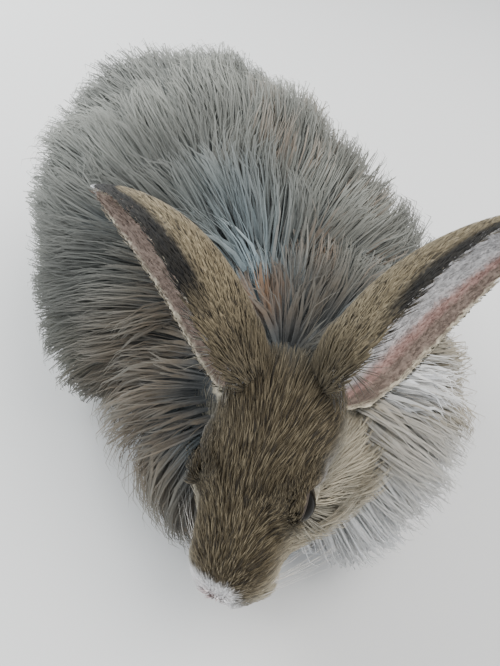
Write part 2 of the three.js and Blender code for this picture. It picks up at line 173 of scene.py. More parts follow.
def stack(x, y, z):
    x, y, z = np.broadcast_arrays(x, y, z)
    return np.stack([x, y, z], axis=-1)


head_turn = (
    Matrix.Rotation(math.radians(HEAD_TURN[0]), 3, "Z")
    @ Matrix.Rotation(math.radians(HEAD_TURN[1]), 3, "X")
    @ Matrix.Rotation(math.radians(HEAD_TURN[2]), 3, "Y")
)
HEAD = np.array(head_turn)


def on_head(p):
    return p @ HEAD.T + HEAD_AT


def in_head(p):
    return (p - HEAD_AT) @ HEAD


def eye_centre(side):
    return on_head(EYE_AT * [side, 1, 1])


# The wool parts here, at the top of the skull's back, and lies away from it
WHORL = on_head(np.array([0.0, 36.0, 22.0]))
NAPE_RUST = np.array([-18.0, -100.0, 138.0])
# Painted shade and light of the wool, with some darker markings: how much, where and how wide. Those below 0
# are painted light
PAINTED_SHADE_LIGHT_AND_MARKS = [
    [1.0, [6, -110, 144], 25],
    [0.7, [-46, -44, 166], 27],
    [0.25, [36, -102, 143], 16],
    [0.3, [36, -150, 132], 16],
    [0.4, [-88, -136, 92], 14],
    [-1.1, [46, -60, 157], 18],
    [-0.5, [26, -38, 169], 17],
    [-0.8, [58, -80, 140], 18],
    [-0.8, [-28, -81, 152], 15],
    [-0.6, [-69, -154, 84], 17],
    [0.7, [-46, -136, 104], 12],
    [0.6, [-76, -142, 93], 22],
    [0.45, [-10, -110, 140], 17],
    [0.35, [-102, -42, 125], 24],
]


def box_middle(node):
    low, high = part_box(node)
    return np.array((low + high) / 2) / MM


SHIFT = (box_middle("eye_left") + box_middle("eye_right") - eye_centre(1) - eye_centre(-1)) / 2
SHIFT[2] = 0
LOW, HIGH = (np.array(corner) / MM - SHIFT for corner in bounds_at_start)

head_rows = profile(
    [
        [-57, 19, -17, 16, 15],
        [-45, 21, -17, 22, 18.6],
        [-30, 20.6, -15, 25, 22.8],
        [-12, 23, -12, 28, 29],
        [8, 28, -10, 32.5, 33.8],
        [28, 31, -9, 37, 34.6],
        [46, 32, -9, 40, 31],
    ]
)
HEAD_SWELLINGS = [
    [12, -47, -21, 3.2, 9],
    [22, 8, -24, 3.6, 17],
    [18, -8, 14, 2.2, 9],
    [22, -9, 2, 1.8, 11],
    [0, -38, -33, 2.5, 9],
]


def head_point(along, turn):
    u = -np.cos(np.pi * along)
    y = HEAD_MIDDLE + HEAD_HALF * u
    w, axis, up, down = np.moveaxis(head_rows(y), -1, 0)
    ends = np.maximum(1 - u * u, 0) ** HEAD_ROUND
    c, s = np.cos(turn), np.sin(turn)
    x = w * ends * np.sign(c) * np.abs(c) ** (2 / HEAD_SQUARE)
    z = np.where(s > 0, up, down) * ends * np.sign(s) * np.abs(s) ** (2 / HEAD_SQUARE)
    p = stack(x, y, axis + z)
    out = unit(stack(x, 0 * y, z))
    for bx, by, bz, height, radius in HEAD_SWELLINGS:
        for side in [1, -1] if bx else [1]:
            p = p + out * (height * near(p, [bx * side, by, bz], radius))[..., None]
    return on_head(p)


torso_rows = profile(
    [
        [-140, 86, 72, 66, 52, 0],
        [-70, 92, 70, 78, 56, 0],
        [0, 84, 69, 82, 58, -9],
        [60, 76, 68, 83, 58, -13],
        [146, 65, 66, 78, 54, -13],
    ]
)


def torso_point(along, turn):
    u = -np.cos(np.pi * along)
    y = TORSO_MIDDLE + TORSO_HALF * u
    w, axis, up, down, x = np.moveaxis(torso_rows(y), -1, 0)
    ends = np.sqrt(np.maximum(1 - u * u, 0))
    z = np.sin(turn) * np.where(turn > 0, up, down)
    return stack(x + w * ends * np.cos(turn), y, axis + z * ends)


def thigh(side):
    return [57 * side, 56, 54], [40, 58, 42]


def egg(body):
    at, radii = np.array(body[0], float), np.array(body[1], float)

    def place(along, turn):
        ends = np.sin(np.pi * along)
        return at + radii * stack(ends * np.cos(turn), -np.cos(np.pi * along), ends * np.sin(turn))

    return place


def in_egg(p, body, grown=0.0):
    at, radii = np.array(body[0], float), np.array(body[1], float)
    return norm((p - at) / (radii + grown)) < 1


def in_torso(p, grown=0.0):
    half = TORSO_HALF + grown
    far = p[..., 1] - TORSO_MIDDLE
    u = np.clip(far / half, -0.999, 0.999)
    w, axis, up, down, x = np.moveaxis(torso_rows(p[..., 1]), -1, 0)
    ends = np.sqrt(1 - u * u)
    z = p[..., 2] - axis
    tall = np.where(z > 0, up, down) + grown
    across = ((p[..., 0] - x) / (w + grown)) ** 2 + (z / tall) ** 2
    return (across < ends * ends) & (np.abs(far) < half)


def in_skull(p, grown=0.0):
    q = in_head(p)
    half = HEAD_HALF + grown
    far = q[..., 1] - HEAD_MIDDLE
    u = np.clip(far / half, -0.999, 0.999)
    w, axis, up, down = np.moveaxis(head_rows(q[..., 1]), -1, 0)
    ends = (1 - u * u) ** HEAD_ROUND
    z = q[..., 2] - axis
    tall = (np.where(z > 0, up, down) + grown) * ends
    wide = (w + grown) * ends
    across = np.abs(q[..., 0] / wide) ** HEAD_SQUARE + np.abs(z / tall) ** HEAD_SQUARE
    return (across < 1) & (np.abs(far) < half)


FORE_ROWS = [
    [34, -72, 60, 17, 17],
    [36, -98, 36, 14, 14],
    [37, -122, 15, 12.5, 12],
    [37, -162, 8, 14, 10],
]
HIND_ROWS = [
    [58, 96, 20, 17, 17],
    [60, 62, 12, 15, 13],
    [62, 20, 9, 14, 10],
    [64, -30, 8, 15, 10],
]


def limb(points, side, blunt):
    """A leg through rows of x, y, z, half width and half height, with blunt ends."""
    rows = [[i / (len(points) - 1), x * side, *more] for i, (x, *more) in enumerate(points)]
    read = profile(rows)

    def place(along, turn):
        along = np.asarray(along, float)
        u = 2 * along - 1
        now = read(along)
        way = unit(read(np.minimum(along + 0.01, 1))[..., :3] - read(np.maximum(along - 0.01, 0))[..., :3])
        side = unit(np.cross([0.0, 0.0, 1.0], way))
        up = np.cross(way, side)
        ends = np.maximum(1 - u * u, 0) ** blunt
        wide = (now[..., 3] * ends * np.cos(turn))[..., None]
        tall = (now[..., 4] * ends * np.sin(turn))[..., None]
        return now[..., :3] + side * wide + up * tall

    return place


def foreleg(side):
    return limb(FORE_ROWS, side, 0.42)


def hind_foot(side):
    return limb(HIND_ROWS, side, 0.36)


# EARS
ear_rows = profile(
    [
        [0, 60, 126],
        [0.1, 71, 109],
        [0.24, 79, 101],
        [0.42, 77, 93],
        [0.62, 65, 86],
        [0.8, 46, 79],
        [0.93, 24, 72],
        [1, 6, 60],
    ]
)
# The ears are one coat in two lights: "back" and "inner" paint the right ear's back and inside lighter than
# the left's, as painted light, and the right ear's pale edge sits farther out, so less of its inside is
# pale, as painted shade
EARS = {
    "left": {
        "side": 1,
        "root": [13, 40, 12.5],
        "deep": [8, 34, -2],
        "way": [0.565, 0.82, 0.08],
        "gape": [0.8, -0.57, 0.18],
        "bow": 2,
        "pale_edge_and_shade": 0.15,
        "back": 1.15,
        "band": 0.06,
        "inner": 1.0,
    },
    "right": {
        "side": -1,
        "root": [-13, 33, 14],
        "deep": [-8, 29, -2],
        "way": [-0.86, 0.42, 0.3],
        "gape": [-0.42, -0.89, 0.17],
        "bow": 14,
        "pale_edge_and_shade": 0.5,
        "back": 1.42,
        "band": 0.1,
        "inner": 1.35,
    },
}


def ear_axes(spec):
    """An ear's ways along, to its open side and across, and the sign of across towards the other ear."""
    along = unit(np.array(spec["way"], float))
    gape = np.array(spec["gape"], float)
    gape = unit(gape - along * dot(gape, along))
    across = np.cross(along, gape)
    return along, gape, across, np.sign(-across[0] * spec["root"][0])


def ear_point(spec, s, across_share, layer):
    """A point of an ear: s is the share of its length, layer -0.5 the back and 0.5 the inside."""
    along, gape, across, inward = ear_axes(spec)
    width, half_angle = np.moveaxis(ear_rows(s), -1, 0)
    half_angle = np.radians(half_angle)
    angle = half_angle * 2 * across_share
    radius = width / (2 * half_angle)
    edge = 1 - 0.45 * np.abs(2 * across_share) ** 3
    r = radius - layer * EAR_THICK * edge * (1 - 0.4 * s)
    bent = np.sin(np.pi * s)
    open_by = radius * 0.6 - r * np.cos(angle) - EAR_ARCH * bent
    aside = r * np.sin(angle) + spec["bow"] * inward * bent
    p = np.array(spec["root"], float) + along * (s * EAR_LENGTH)[..., None]
    p = p + gape * open_by[..., None] + across * aside[..., None]
    sunk = EAR_SUNK * smooth(EAR_NECK, EAR_ROOT, s)[..., None]
    p = p + (np.array(spec["deep"], float) - p) * sunk
    return on_head(p)


# SURFACES: points, outward normals and areas of a placed surface
def surface(place, along, turn, step=0.004):
    p = place(along, turn)
    a = place(np.minimum(along + step, 0.999), turn) - place(np.maximum(along - step, 0.001), turn)
    b = place(along, turn + step) - place(along, turn - step)
    cross = np.cross(a, b)
    return p, unit(cross), norm(cross)


def outward(place, p, out):
    """Normals turned so that they point away from the middle of a closed surface."""
    ends = (place(np.array(0.02), np.array(0.0)) + place(np.array(0.98), np.array(0.0))) / 2
    far = p - ends
    return np.where((dot(out, far) < 0)[..., None], -out, out)


def drawn(place, count, cells, around, start):
    """Random places of a surface, even over its area: how far along it and round it."""
    shares = (np.arange(cells) + 0.5) / cells
    along, turn = np.meshgrid(shares, shares * around - start, indexing="ij")
    area = surface(place, along, turn)[2].ravel()
    pick = random.choice(area.size, count, p=area / area.sum())
    along = along.ravel()[pick] + (random.random(count) - 0.5) / cells
    turn = turn.ravel()[pick] + (random.random(count) - 0.5) / cells * around
    return along, turn


def spread(place, count):
    """Points spread over a closed surface, with their outward normals."""
    along, turn = drawn(place, count, 160, 2 * np.pi, np.pi)
    p, out, _ = surface(place, np.clip(along, 0.001, 0.999), turn)
    return p, outward(place, p, out)


def spread_ear(spec, count, layer):
    """Points spread over one layer of an ear, their outward normals, and their s and a."""

    def place(share, a):
        return ear_point(spec, EAR_ROOT + (1 - EAR_ROOT) * share, a, layer)

    share, a = drawn(place, count, 90, 1, 0.5)
    share, a = np.clip(share, 0.002, 0.995), np.clip(a, -0.499, 0.499)
    p, out, _ = surface(place, share, a)
    s = EAR_ROOT + (1 - EAR_ROOT) * share
    other = ear_point(spec, s, a, -layer)
    return p, np.where((dot(out, p - other) < 0)[..., None], -out, out), s, a


# SKIN
def ring_faces(rings, sides, closed=False, capped=True):
    """Faces of rings of points. The last ring joins the first if it is closed."""
    faces = []
    for i in range(rings if closed else rings - 1):
        n = (i + 1) % rings
        for j in range(sides):
            k = (j + 1) % sides
            faces.append((i * sides + j, i * sides + k, n * sides + k, n * sides + j))
    if capped and not closed:
        faces.append(tuple(range(sides))[::-1])
        faces.append(tuple((rings - 1) * sides + j for j in range(sides)))
    return faces


def closed_grid(place, rings, sides, grow):
    """Vertices and faces of a closed surface, moved along its normals."""
    along = np.linspace(0.004, 0.996, rings)
    turn = np.arange(sides) / sides * 2 * np.pi - np.pi
    a, b = np.meshgrid(along, turn, indexing="ij")
    p, out, _ = surface(place, a, b)
    p = p + outward(place, p, out) * grow
    return p.reshape(-1, 3), ring_faces(rings, sides)


def ear_grid(spec, rings=90, half=56):
    s, a = np.meshgrid(np.linspace(EAR_ROOT, 1, rings), np.linspace(-0.5, 0.5, half), indexing="ij")
    back = ear_point(spec, s, a, -0.42)
    front = ear_point(spec, s, a[:, ::-1], 0.42)
    loop = np.concatenate([back, front], axis=1)
    sides = 2 * half
    faces = ring_faces(rings, sides, capped=False)
    for start in (0, (rings - 1) * sides):
        end = start + sides - 1
        faces.extend((start + j, start + j + 1, end - 1 - j, end - j) for j in range(half - 1))
    return loop.reshape(-1, 3), faces


def to_scene(p):
    return (p + SHIFT) * MM


def new_object(name, data):
    made = bpy.data.objects.new(name, data)
    bpy.context.scene.collection.objects.link(made)
    return made


def put(data, field, values, kind=np.float32):
    data.foreach_set(field, np.asarray(values, kind).ravel())


def smooth_mesh(name, parts):
    """One smooth mesh from lists of points and faces."""
    points = []
    faces = []
    start = 0
    for more, polygons in parts:
        points.append(more)
        faces.extend(tuple(start + i for i in polygon) for polygon in polygons)
        start += len(more)
    mesh = bpy.data.meshes.new(name)
    mesh.from_pydata([tuple(v) for v in to_scene(np.concatenate(points))], [], faces)
    for polygon in mesh.polygons:
        polygon.use_smooth = True
    return mesh


def toe_places():
    """The x and y of every toe's middle."""
    found = []
    for x, y in [(37, -154), (64, -22)]:
        for side in (1, -1):
            for share in (-0.5, -1 / 6, 1 / 6, 0.5):
                found.append((x * side + share * TOE_REACH, y + 14 * share * share))
    return found


def build_skin():
    """One skin round head, body, ears and limbs, from small voxels."""
    parts = [
        closed_grid(head_point, 110, 120, -FUR_DEPTH),
        closed_grid(torso_point, 110, 130, -1.0),
        closed_grid(egg(NECK), 60, 80, -1.0),
        closed_grid(egg(TAIL), 30, 40, -1.0),
        ear_grid(EARS["left"]),
        ear_grid(EARS["right"]),
    ]
    for side in (1, -1):
        parts.append(closed_grid(egg(thigh(side)), 60, 80, -1.0))
        parts.append(closed_grid(foreleg(side), 50, 36, -0.6))
        parts.append(closed_grid(hind_foot(side), 60, 36, -0.6))
    for x, y in toe_places():
        parts.append(closed_grid(egg(([x, y, 6.6], [4.2, 8.8, 6.2])), 16, 16, -0.2))
    rough = new_object("skin_parts", smooth_mesh("skin_parts", parts))
    remesh = rough.modifiers.new("voxels", "REMESH")
    remesh.mode = "VOXEL"
    remesh.voxel_size = SKIN_VOXEL * MM
    remesh.use_smooth_shade = True
    relax = rough.modifiers.new("relax", "SMOOTH")
    relax.factor = 0.5
    relax.iterations = 3
    bpy.context.view_layer.update()
    graph = bpy.context.evaluated_depsgraph_get()
    made = bpy.data.meshes.new_from_object(rough.evaluated_get(graph))
    bpy.data.objects.remove(rough)
    made.name = "skin"
    return made


def take(mesh, field):
    values = np.zeros(len(mesh.vertices) * 3, np.float32)
    mesh.vertices.foreach_get(field, values)
    return values.reshape(-1, 3)


def points_of(mesh):
    return take(mesh, "co").astype(float) / MM - SHIFT


# Nose, mouth and eye lines in the head's frame
MOUTH = [[0, -56, -26.5], [5, -54.5, -27.5], [11, -49, -29], [17, -41, -28.5]]
NOSTRIL = [[1.4, -58.5, -15.5], [3.6, -57.2, -13], [6.2, -55, -12]]
LIP_CLEFT = [[0, -59, -16], [0, -57.6, -21], [0, -55.5, -26.5]]


def line_distance(q, line):
    """How far points are from a line of points."""
    best = np.full(q.shape[:-1], 1e9)
    line = np.array(line, float)
    for a, b in zip(line[:-1], line[1:]):
        t = np.clip(dot(q - a, b - a) / dot(b - a, b - a), 0, 1)
        best = np.minimum(best, norm(q - a - t[..., None] * (b - a)))
    return best


def face_side(q):
    """Head points brought to the left half, and the eye's own fore and up coordinates there."""
    half = q.copy()
    half[..., 0] = np.abs(half[..., 0])
    from_eye = half - EYE_AT
    fore = from_eye[..., 1] * math.cos(LID_TILT) + from_eye[..., 2] * math.sin(LID_TILT)
    up = -from_eye[..., 1] * math.sin(LID_TILT) + from_eye[..., 2] * math.cos(LID_TILT)
    return half, from_eye, fore, up


def lid_share(fore, up):
    """1 on the edge of the eye's opening, less inside it and more outside."""
    tall = np.where(up > 0, LID_TOP, LID_LOW)
    return np.sqrt((fore / LID_FORE) ** 2 + (up / tall) ** 2)


def raise_lids(q):
    """Head points lifted over the eyeballs, and their outward ways there with a share of 0 to 1."""
    half, from_eye, fore, up = face_side(q)
    sign = np.where(q[..., 0] < 0, -1.0, 1.0)
    rho = np.hypot(from_eye[..., 1], from_eye[..., 2])
    around_eye = (rho < EYE_RADIUS + 7) & (from_eye[..., 0] > -6)
    share = lid_share(fore, up)
    ball = EYE_RADIUS + LID_GAP + 0.35 * bump(share - 1.35, 0.4)
    over = EYE_AT[0] + np.sqrt(np.maximum(ball**2 - rho**2, 0))
    orbit = half[..., 0] + 0.9 * bump(rho - 8, 3.2)
    lifted = np.where(rho < ball, np.maximum(over, orbit), orbit)
    raised = q.copy()
    raised[..., 0] = np.where(around_eye, np.maximum(half[..., 0], lifted) * sign, q[..., 0])
    lift = np.where(around_eye, np.abs(raised[..., 0]) - half[..., 0], 0)
    out = unit(raised - EYE_AT * stack(sign, 1, 1))
    return raised, out, smooth(0.4, 2.5, lift)


def carve_face(mesh):
    """Sinks the eye openings, nostrils and mouth into the skin, and lays the lids on the eyes."""
    p = points_of(mesh)
    q = in_head(p)
    half, from_eye, fore, up = face_side(q)
    on_face = (np.abs(q[:, 1]) < 60) & (np.abs(q[:, 0]) < 40) & (np.abs(q[:, 2]) < 50)
    by_eye = on_face & (norm(from_eye) < EYE_RADIUS + 9)
    sign = np.where(q[:, 0] < 0, -1.0, 1.0)
    local = np.where(by_eye[:, None], raise_lids(q)[0], q)
    local[:, 0] = np.abs(local[:, 0])
    hole = by_eye & (lid_share(fore, up) < 0.97) & (from_eye[:, 0] > -6)
    local[hole, 0] = EYE_AT[0] - 1.0
    normal = unit(stack(half[:, 0], np.minimum(half[:, 1] + 35, 0), half[:, 2] + 15))
    groove = 0
    for deep, line, wide in ((1.6, MOUTH, 1.1), (2.2, NOSTRIL, 1.2), (1.4, LIP_CLEFT, 0.9)):
        groove = groove + deep * bump(line_distance(half, line), wide)
    local -= normal * (groove * on_face)[:, None]
    local[:, 0] *= sign
    moved = on_face & (by_eye | (groove > 0.01))
    p[moved] = on_head(local)[moved]
    p[:, 2] = np.maximum(p[:, 2], 0.1)
    put(mesh.vertices, "co", to_scene(p))
    mesh.update()


skin_mesh = build_skin()
carve_face(skin_mesh)
skin = new_object("skin", skin_mesh)


# COLOURS, as red, green and blue from 0 to 255
def tint(r, g, b):
    c = np.array([r, g, b]) / 255
    return np.where(c <= 0.04045, c / 12.92, ((c + 0.055) / 1.055) ** 2.4)


WOOL_ROOT = tint(90, 94, 95)
WOOL_MID = tint(114, 115, 108)
WOOL_TIP = tint(152, 152, 144)
BLUE_ROOT = tint(140, 157, 163)
OLIVE_MID = tint(118, 117, 99)
BROWN_MID = tint(124, 110, 92)
WHITE_ROOT = tint(248, 246, 241)
WHITE_TIP = tint(255, 254, 252)
CREAM_MID = tint(180, 168, 146)
CREAM_TIP = tint(194, 185, 166)
RUST = tint(168, 120, 76)
AGOUTI_DARK = tint(50, 43, 32)
AGOUTI_MID = tint(90, 78, 55)
AGOUTI_LIGHT = tint(136, 123, 97)
BLACK = tint(12, 11, 11)
PINK = tint(178, 142, 132)
EAR_TAN = tint(140, 122, 110)
CREAM = tint(222, 210, 184)
NOSE_WHITE = tint(255, 252, 250)
NOSE_PINK = tint(232, 188, 182)
EAR_PALE = tint(208, 204, 202)


def mixed(colour, *layers):
    """A colour with others mixed in, one after the other, each by its share."""
    for other, share in layers:
        share = np.asarray(share, float)[..., None]
        colour = colour * (1 - share) + other * share
    return colour


def shaded(root, middle, tip, t, edges):
    """Colours at shares t of a tuft, changing between the first and then between the last two edges."""
    rows = []
    for share in t:
        rows.append(mixed(root, (middle, smooth(*edges[:2], share)), (tip, smooth(*edges[2:], share))))
    return np.stack(rows, axis=1)


def wavy(p, size, seed):
    """A slow random field from a few waves, about -1 to 1."""
    turns = np.random.default_rng(seed)
    total = np.zeros(p.shape[:-1])
    for _ in range(5):
        way = unit(turns.normal(size=3))
        phase = dot(p, way) * 2 * np.pi / size * turns.uniform(0.6, 1.5)
        total = total + np.sin(phase + turns.uniform(0, 6.28))
    return total / 2.6


def wool_marks(p):
    """Shares of each marking in the wool, and of its painted shade and light, at points of the tufts' outer
    parts.
    """
    x, y, z = np.moveaxis(p, -1, 0)
    q = in_head(p)
    outer = smooth(-148, -158, y) * smooth(-182, -172, y) * smooth(22, 31, x) * smooth(98, 107, z)
    fore = 0.55 * smooth(-174, -186, y) * smooth(-10, 1, x) * (1 - 0.5 * smooth(84, 104, z))
    low = smooth(84, 56, z) * smooth(-36, -8, x) * smooth(-96, -126, y)
    white = np.maximum(outer, np.maximum(fore, low))
    cream = smooth(-118, -140, y) * smooth(6, 24, x) * (1 - white)
    blue = bump(norm((p - [-24, -76, 154]) * [0.9, 0.75, 0.5]), 23)
    blue = np.maximum(blue, 0.7 * near(p, [-16, -56, 168], 15))
    blue = np.maximum(blue, 0.6 * near(q, [-14, -28, -34], 26)) * (1 - 0.7 * near(p, NAPE_RUST, 13))
    rust = np.maximum(near(p, NAPE_RUST, 13), 0.7 * near(p, [-59, -92, 136], 11))
    rust = np.maximum(rust, np.maximum(0.8 * near(p, [3, -79, 153], 6), 0.7 * near(p, [23, -81, 151], 8)))
    # Painted shade: the shade mask makes the right front shoulder browner and darker; the other browns are
    # markings
    shade = smooth(-60, -100, y) * smooth(0, -40, x)
    brown = np.maximum(0.4 * smooth(30, 80, x) * smooth(-100, 20, y), 0.9 * shade)
    brown = np.maximum(brown, np.maximum(near(p, [-70, -80, 134], 18), 0.9 * near(p, [6, -110, 144], 26)))
    olive = smooth(-40, -90, x) * smooth(120, 50, z) * 0.8
    # Painted shade and light: the right flank is darker, the rear half lighter (less so at its far end) and
    # the right front lighter; then the listed places of painted shade, painted light and darker markings
    painted_shade_light_and_marks = 0.25 * smooth(-82, -96, x) * smooth(10, -20, y) * smooth(-84, -60, y)
    painted_shade_light_and_marks = painted_shade_light_and_marks - 0.7 * smooth(-16, 20, y) + 0.3 * smooth(30, 70, y)
    painted_shade_light_and_marks = painted_shade_light_and_marks - 0.2 * smooth(-72, -96, y) * smooth(-40, -62, x)
    for strength, at, size in PAINTED_SHADE_LIGHT_AND_MARKS:
        painted_shade_light_and_marks = painted_shade_light_and_marks + strength * near(p, at, size)
    return white, cream, rust, brown * (1 - blue), olive, blue, np.clip(painted_shade_light_and_marks, -1.5, 1)


def wool_colour(p, tone):
    """Colours along wool from root to tip, for a point and a tone of each tuft."""
    white, cream, rust, brown, olive, blue, painted_shade_light_and_marks = wool_marks(p)
    fleck = smooth(0.6, 1.0, wavy(p, 26, 8)) * smooth(60, -10, p[..., 1]) * smooth(-30, 20, p[..., 0])
    rust = np.clip(rust + 0.25 * fleck, 0, 1)
    blue_root = np.clip(blue + 0.35 * wavy(p, 70, 3), 0, 1)
    root = mixed(WOOL_ROOT, (BLUE_ROOT, blue_root), (CREAM_MID * 0.7, cream), (WHITE_ROOT, white))
    middle = mixed(
        WOOL_MID,
        (OLIVE_MID, olive),
        (BROWN_MID, brown),
        (BLUE_ROOT, 0.8 * blue),
        (RUST, 0.8 * rust),
        (CREAM_MID, cream),
        ((WHITE_ROOT + WHITE_TIP) / 2, white),
    )
    tip = mixed(WOOL_TIP, (BROWN_MID, 0.4 * brown), (BLUE_ROOT, 0.5 * blue), (RUST, 0.35 * rust))
    tip = mixed(tip, (CREAM_TIP, cream), (WHITE_TIP, white))
    drift = 1 + 0.12 * wavy(p, 42, 13) * (1 - white)
    # Painted shade and light, with the darker markings, set the wool's level outside the white
    level = (1 + 0.2 * tone) * drift * (1 - 0.55 * painted_shade_light_and_marks * (1 - white))
    return shaded(root, middle, tip, WOOL_STEPS, (0.05, 0.5, 0.45, 1.0)) * level[:, None, None]


def face_marks(q):
    """Shares of each marking on the head, and of painted shade behind the eye, at points in the head's
    frame.
    """
    half = face_side(q)[0]
    nose = smooth(-48.5, -52.5, q[..., 1]) * smooth(-1.5, -6.5, q[..., 2]) * smooth(11, 5, q[..., 0])
    white = np.clip(nose + 0.8 * bump(line_distance(half, MOUTH), 3.2), 0, 1)
    spot = near(q, [-3, -58, -14], 4.5)
    side = smooth(14, 23, half[..., 0]) * smooth(7, -7, q[..., 2]) * smooth(-54, -40, q[..., 1])
    cream = np.clip(0.75 * side + smooth(-20, -34, q[..., 2]) + 0.6 * near(half, [15, -47, -20], 9), 0, 1)
    streak = bump(line_distance(half, [[26, -1, 5.5], [29, 14, 7], [32, 30, 7]]), 2.6)
    streak = streak * smooth(16, 24, half[..., 0])
    # Painted shade: a greyer band on the side of the head behind the eye, where it turns away into shade
    painted_shade_patch = bump(line_distance(half, [[29, 4, 3], [32, 24, 2]]), 6.0)
    return white, spot, cream, streak, painted_shade_patch, smooth(24, 44, q[..., 1]) * 0.5


def face_colour(p, tone):
    """Colours along the head's fur from root to tip."""
    q = in_head(p)
    white, spot, cream, streak, painted_shade_patch, grey = (mark[:, None] for mark in face_marks(q))
    tick = 0.5 + 0.5 * tone
    middle = mixed(AGOUTI_MID, (AGOUTI_LIGHT, smooth(0.45, 1.0, tick)))
    middle = mixed(middle, (AGOUTI_DARK, smooth(0.4, 0.0, tick)))
    root = mixed(AGOUTI_DARK, (AGOUTI_MID, 0.4))
    tip = mixed(middle, (AGOUTI_DARK, 0.4))
    # Painted shade darkens the right side of the head, except at its back; the level is also higher around
    # the muzzle
    painted_shade_far_side = smooth(-4, -22, q[:, 0]) * smooth(30, 10, q[:, 1])
    level = 0.92 - 0.2 * painted_shade_far_side + 0.32 * near(q, [2, -43, 2], 25)
    ticked = 1.08 + 0.24 * tone[:, None] + 0.2 * np.array(FUR_STEPS)
    mottle = smooth(0.1, 0.9, wavy(p, 19, 33))[:, None] * cream * (1 - white)
    return mixed(
        shaded(root, middle, tip, FUR_STEPS, (0.0, 0.45, 0.6, 1.0)) * level[:, None, None],
        # greyer towards the back of the head, and painted shade behind the eye
        (WOOL_MID, 0.6 * grey + 0.7 * painted_shade_patch),
        (CREAM * ticked[..., None], 0.8 * cream),
        (WOOL_MID, 0.55 * mottle),
        (EAR_PALE, 0.4 * streak),
        (NOSE_WHITE, white),
        (NOSE_PINK, 0.7 * spot * white),
    )


def ear_colour(spec, s, medial, inside, tone):
    """Colours of ear fur. medial is 1 at the rim near the other ear, which has the black band."""
    if inside:
        pale_edge_and_shade = spec["pale_edge_and_shade"]
        colour = mixed(PINK, (EAR_TAN, smooth(pale_edge_and_shade - 0.01, pale_edge_and_shade - 0.05, medial)))
        # The pale edge and the "inner" level give each ear its own painted light and shade
        colour = mixed(colour, (EAR_PALE, smooth(pale_edge_and_shade, pale_edge_and_shade + 0.07, medial))) * spec["inner"]
        rims = np.maximum(smooth(0.035, 0.0, medial), smooth(0.94, 1.0, medial))
        colour = mixed(colour, (CREAM, rims))
    else:
        tick = 0.5 + 0.5 * tone
        tawny = mixed(AGOUTI_MID, (AGOUTI_LIGHT, 0.55 + 0.45 * smooth(0.5, 1.0, tick)))
        ticked = mixed(tawny, (AGOUTI_DARK, smooth(0.5, 0.0, tick) * 0.8)) * 0.9
        band_edge = 1 - (spec["band"] + 0.6 * smooth(0.8, 0.97, s))
        band = smooth(band_edge - 0.05, band_edge + 0.02, medial) * smooth(0.16, 0.34, s)
        colour = mixed(
            # The "back" level gives each ear's back its own painted light
            tawny * spec["back"],
            (AGOUTI_DARK, smooth(0.35, 0.0, tick) * 0.85),
            (BLACK, 0.95 * band),
            (WOOL_MID, smooth(0.3, 0.0, medial) * 0.35),
            (WHITE_TIP, smooth(0.955, 0.985, s)),
            (ticked, smooth(0.34, 0.06, s)),
            (CREAM, 0.85 * smooth(0.12, 0.03, medial)),
        )
    rows = [colour * (0.72 + 0.36 * share) for share in FUR_STEPS]
    return np.stack(rows, axis=1) * (1 + 0.1 * tone)[:, None, None]


def paw_colour(tone):
    base = mixed(CREAM, (WHITE_TIP, smooth(-0.5, 0.8, tone)))
    return np.stack([base * (0.6 + 0.4 * share) for share in FUR_STEPS], axis=1)


# TUFTS
def over_floor(z):
    """Heights eased up so that none comes close to the floor."""
    reach = FLOOR_SOFT - FLOOR_CLEAR
    return np.where(z > FLOOR_SOFT, z, FLOOR_CLEAR + reach * np.exp(np.minimum((z - FLOOR_SOFT) / reach, 0)))


def curve(tuft, t):
    """Points of each tuft's middle line at shares t: an array of tufts, shares and coordinates."""
    t = np.asarray(t, float)[None, :, None]
    root, out, lie = (tuft[key][:, None, :] for key in ("root", "out", "lie"))
    values = ("length", "rise", "bend", "sweep", "wave", "phase", "droop")
    length, rise, bend, sweep, wave, phase, droop = (tuft[key][:, None, None] for key in values)
    run = length * t
    lift = rise * (1 - (1 - t) ** 2) - run**2 / (2 * bend)
    wave = wave * t * np.sin(phase + 5.2 * t)
    p = root + lie * run + out * (lift + 0.6 * wave) + np.cross(out, lie) * (sweep * t**2 + wave)
    p[..., 2] -= (droop * t**2)[..., 0]
    return p


def tree_of(points):
    tree = KDTree(len(points))
    for i, v in enumerate(points):
        tree.insert(v, i)
    tree.balance()
    return tree


def nearest(points, targets):
    tree = tree_of(targets)
    return np.array([tree.find(v)[1] for v in points])


def ease(beyond):
    return BOX_EASE * (1 - np.exp(-beyond / BOX_EASE))


def in_box(p):
    """Points eased back, near its sides, to stay inside the solids' own box."""
    over = np.maximum(p - (HIGH - BOX_EDGE), 0)
    under = np.maximum(LOW + BOX_EDGE - p, 0) * [1, 1, 0]
    return p - over + ease(over) + under - ease(under)


def clipped(p):
    return np.clip(p, LOW + BOX_MARGIN, HIGH - BOX_MARGIN)


def wool_line(tuft, guides):
    """Middle lines of wool, drawn together towards the middle of their lock."""
    t = np.array(WOOL_STEPS, float)
    line = curve(tuft, t)
    pull = tuft["clump"][:, None, None] * (t**1.4)[None, :, None]
    line = line + pull * (curve(guides, t) - line)
    line[..., 2] = over_floor(line[..., 2])
    return in_box(line)


GROUPS = []


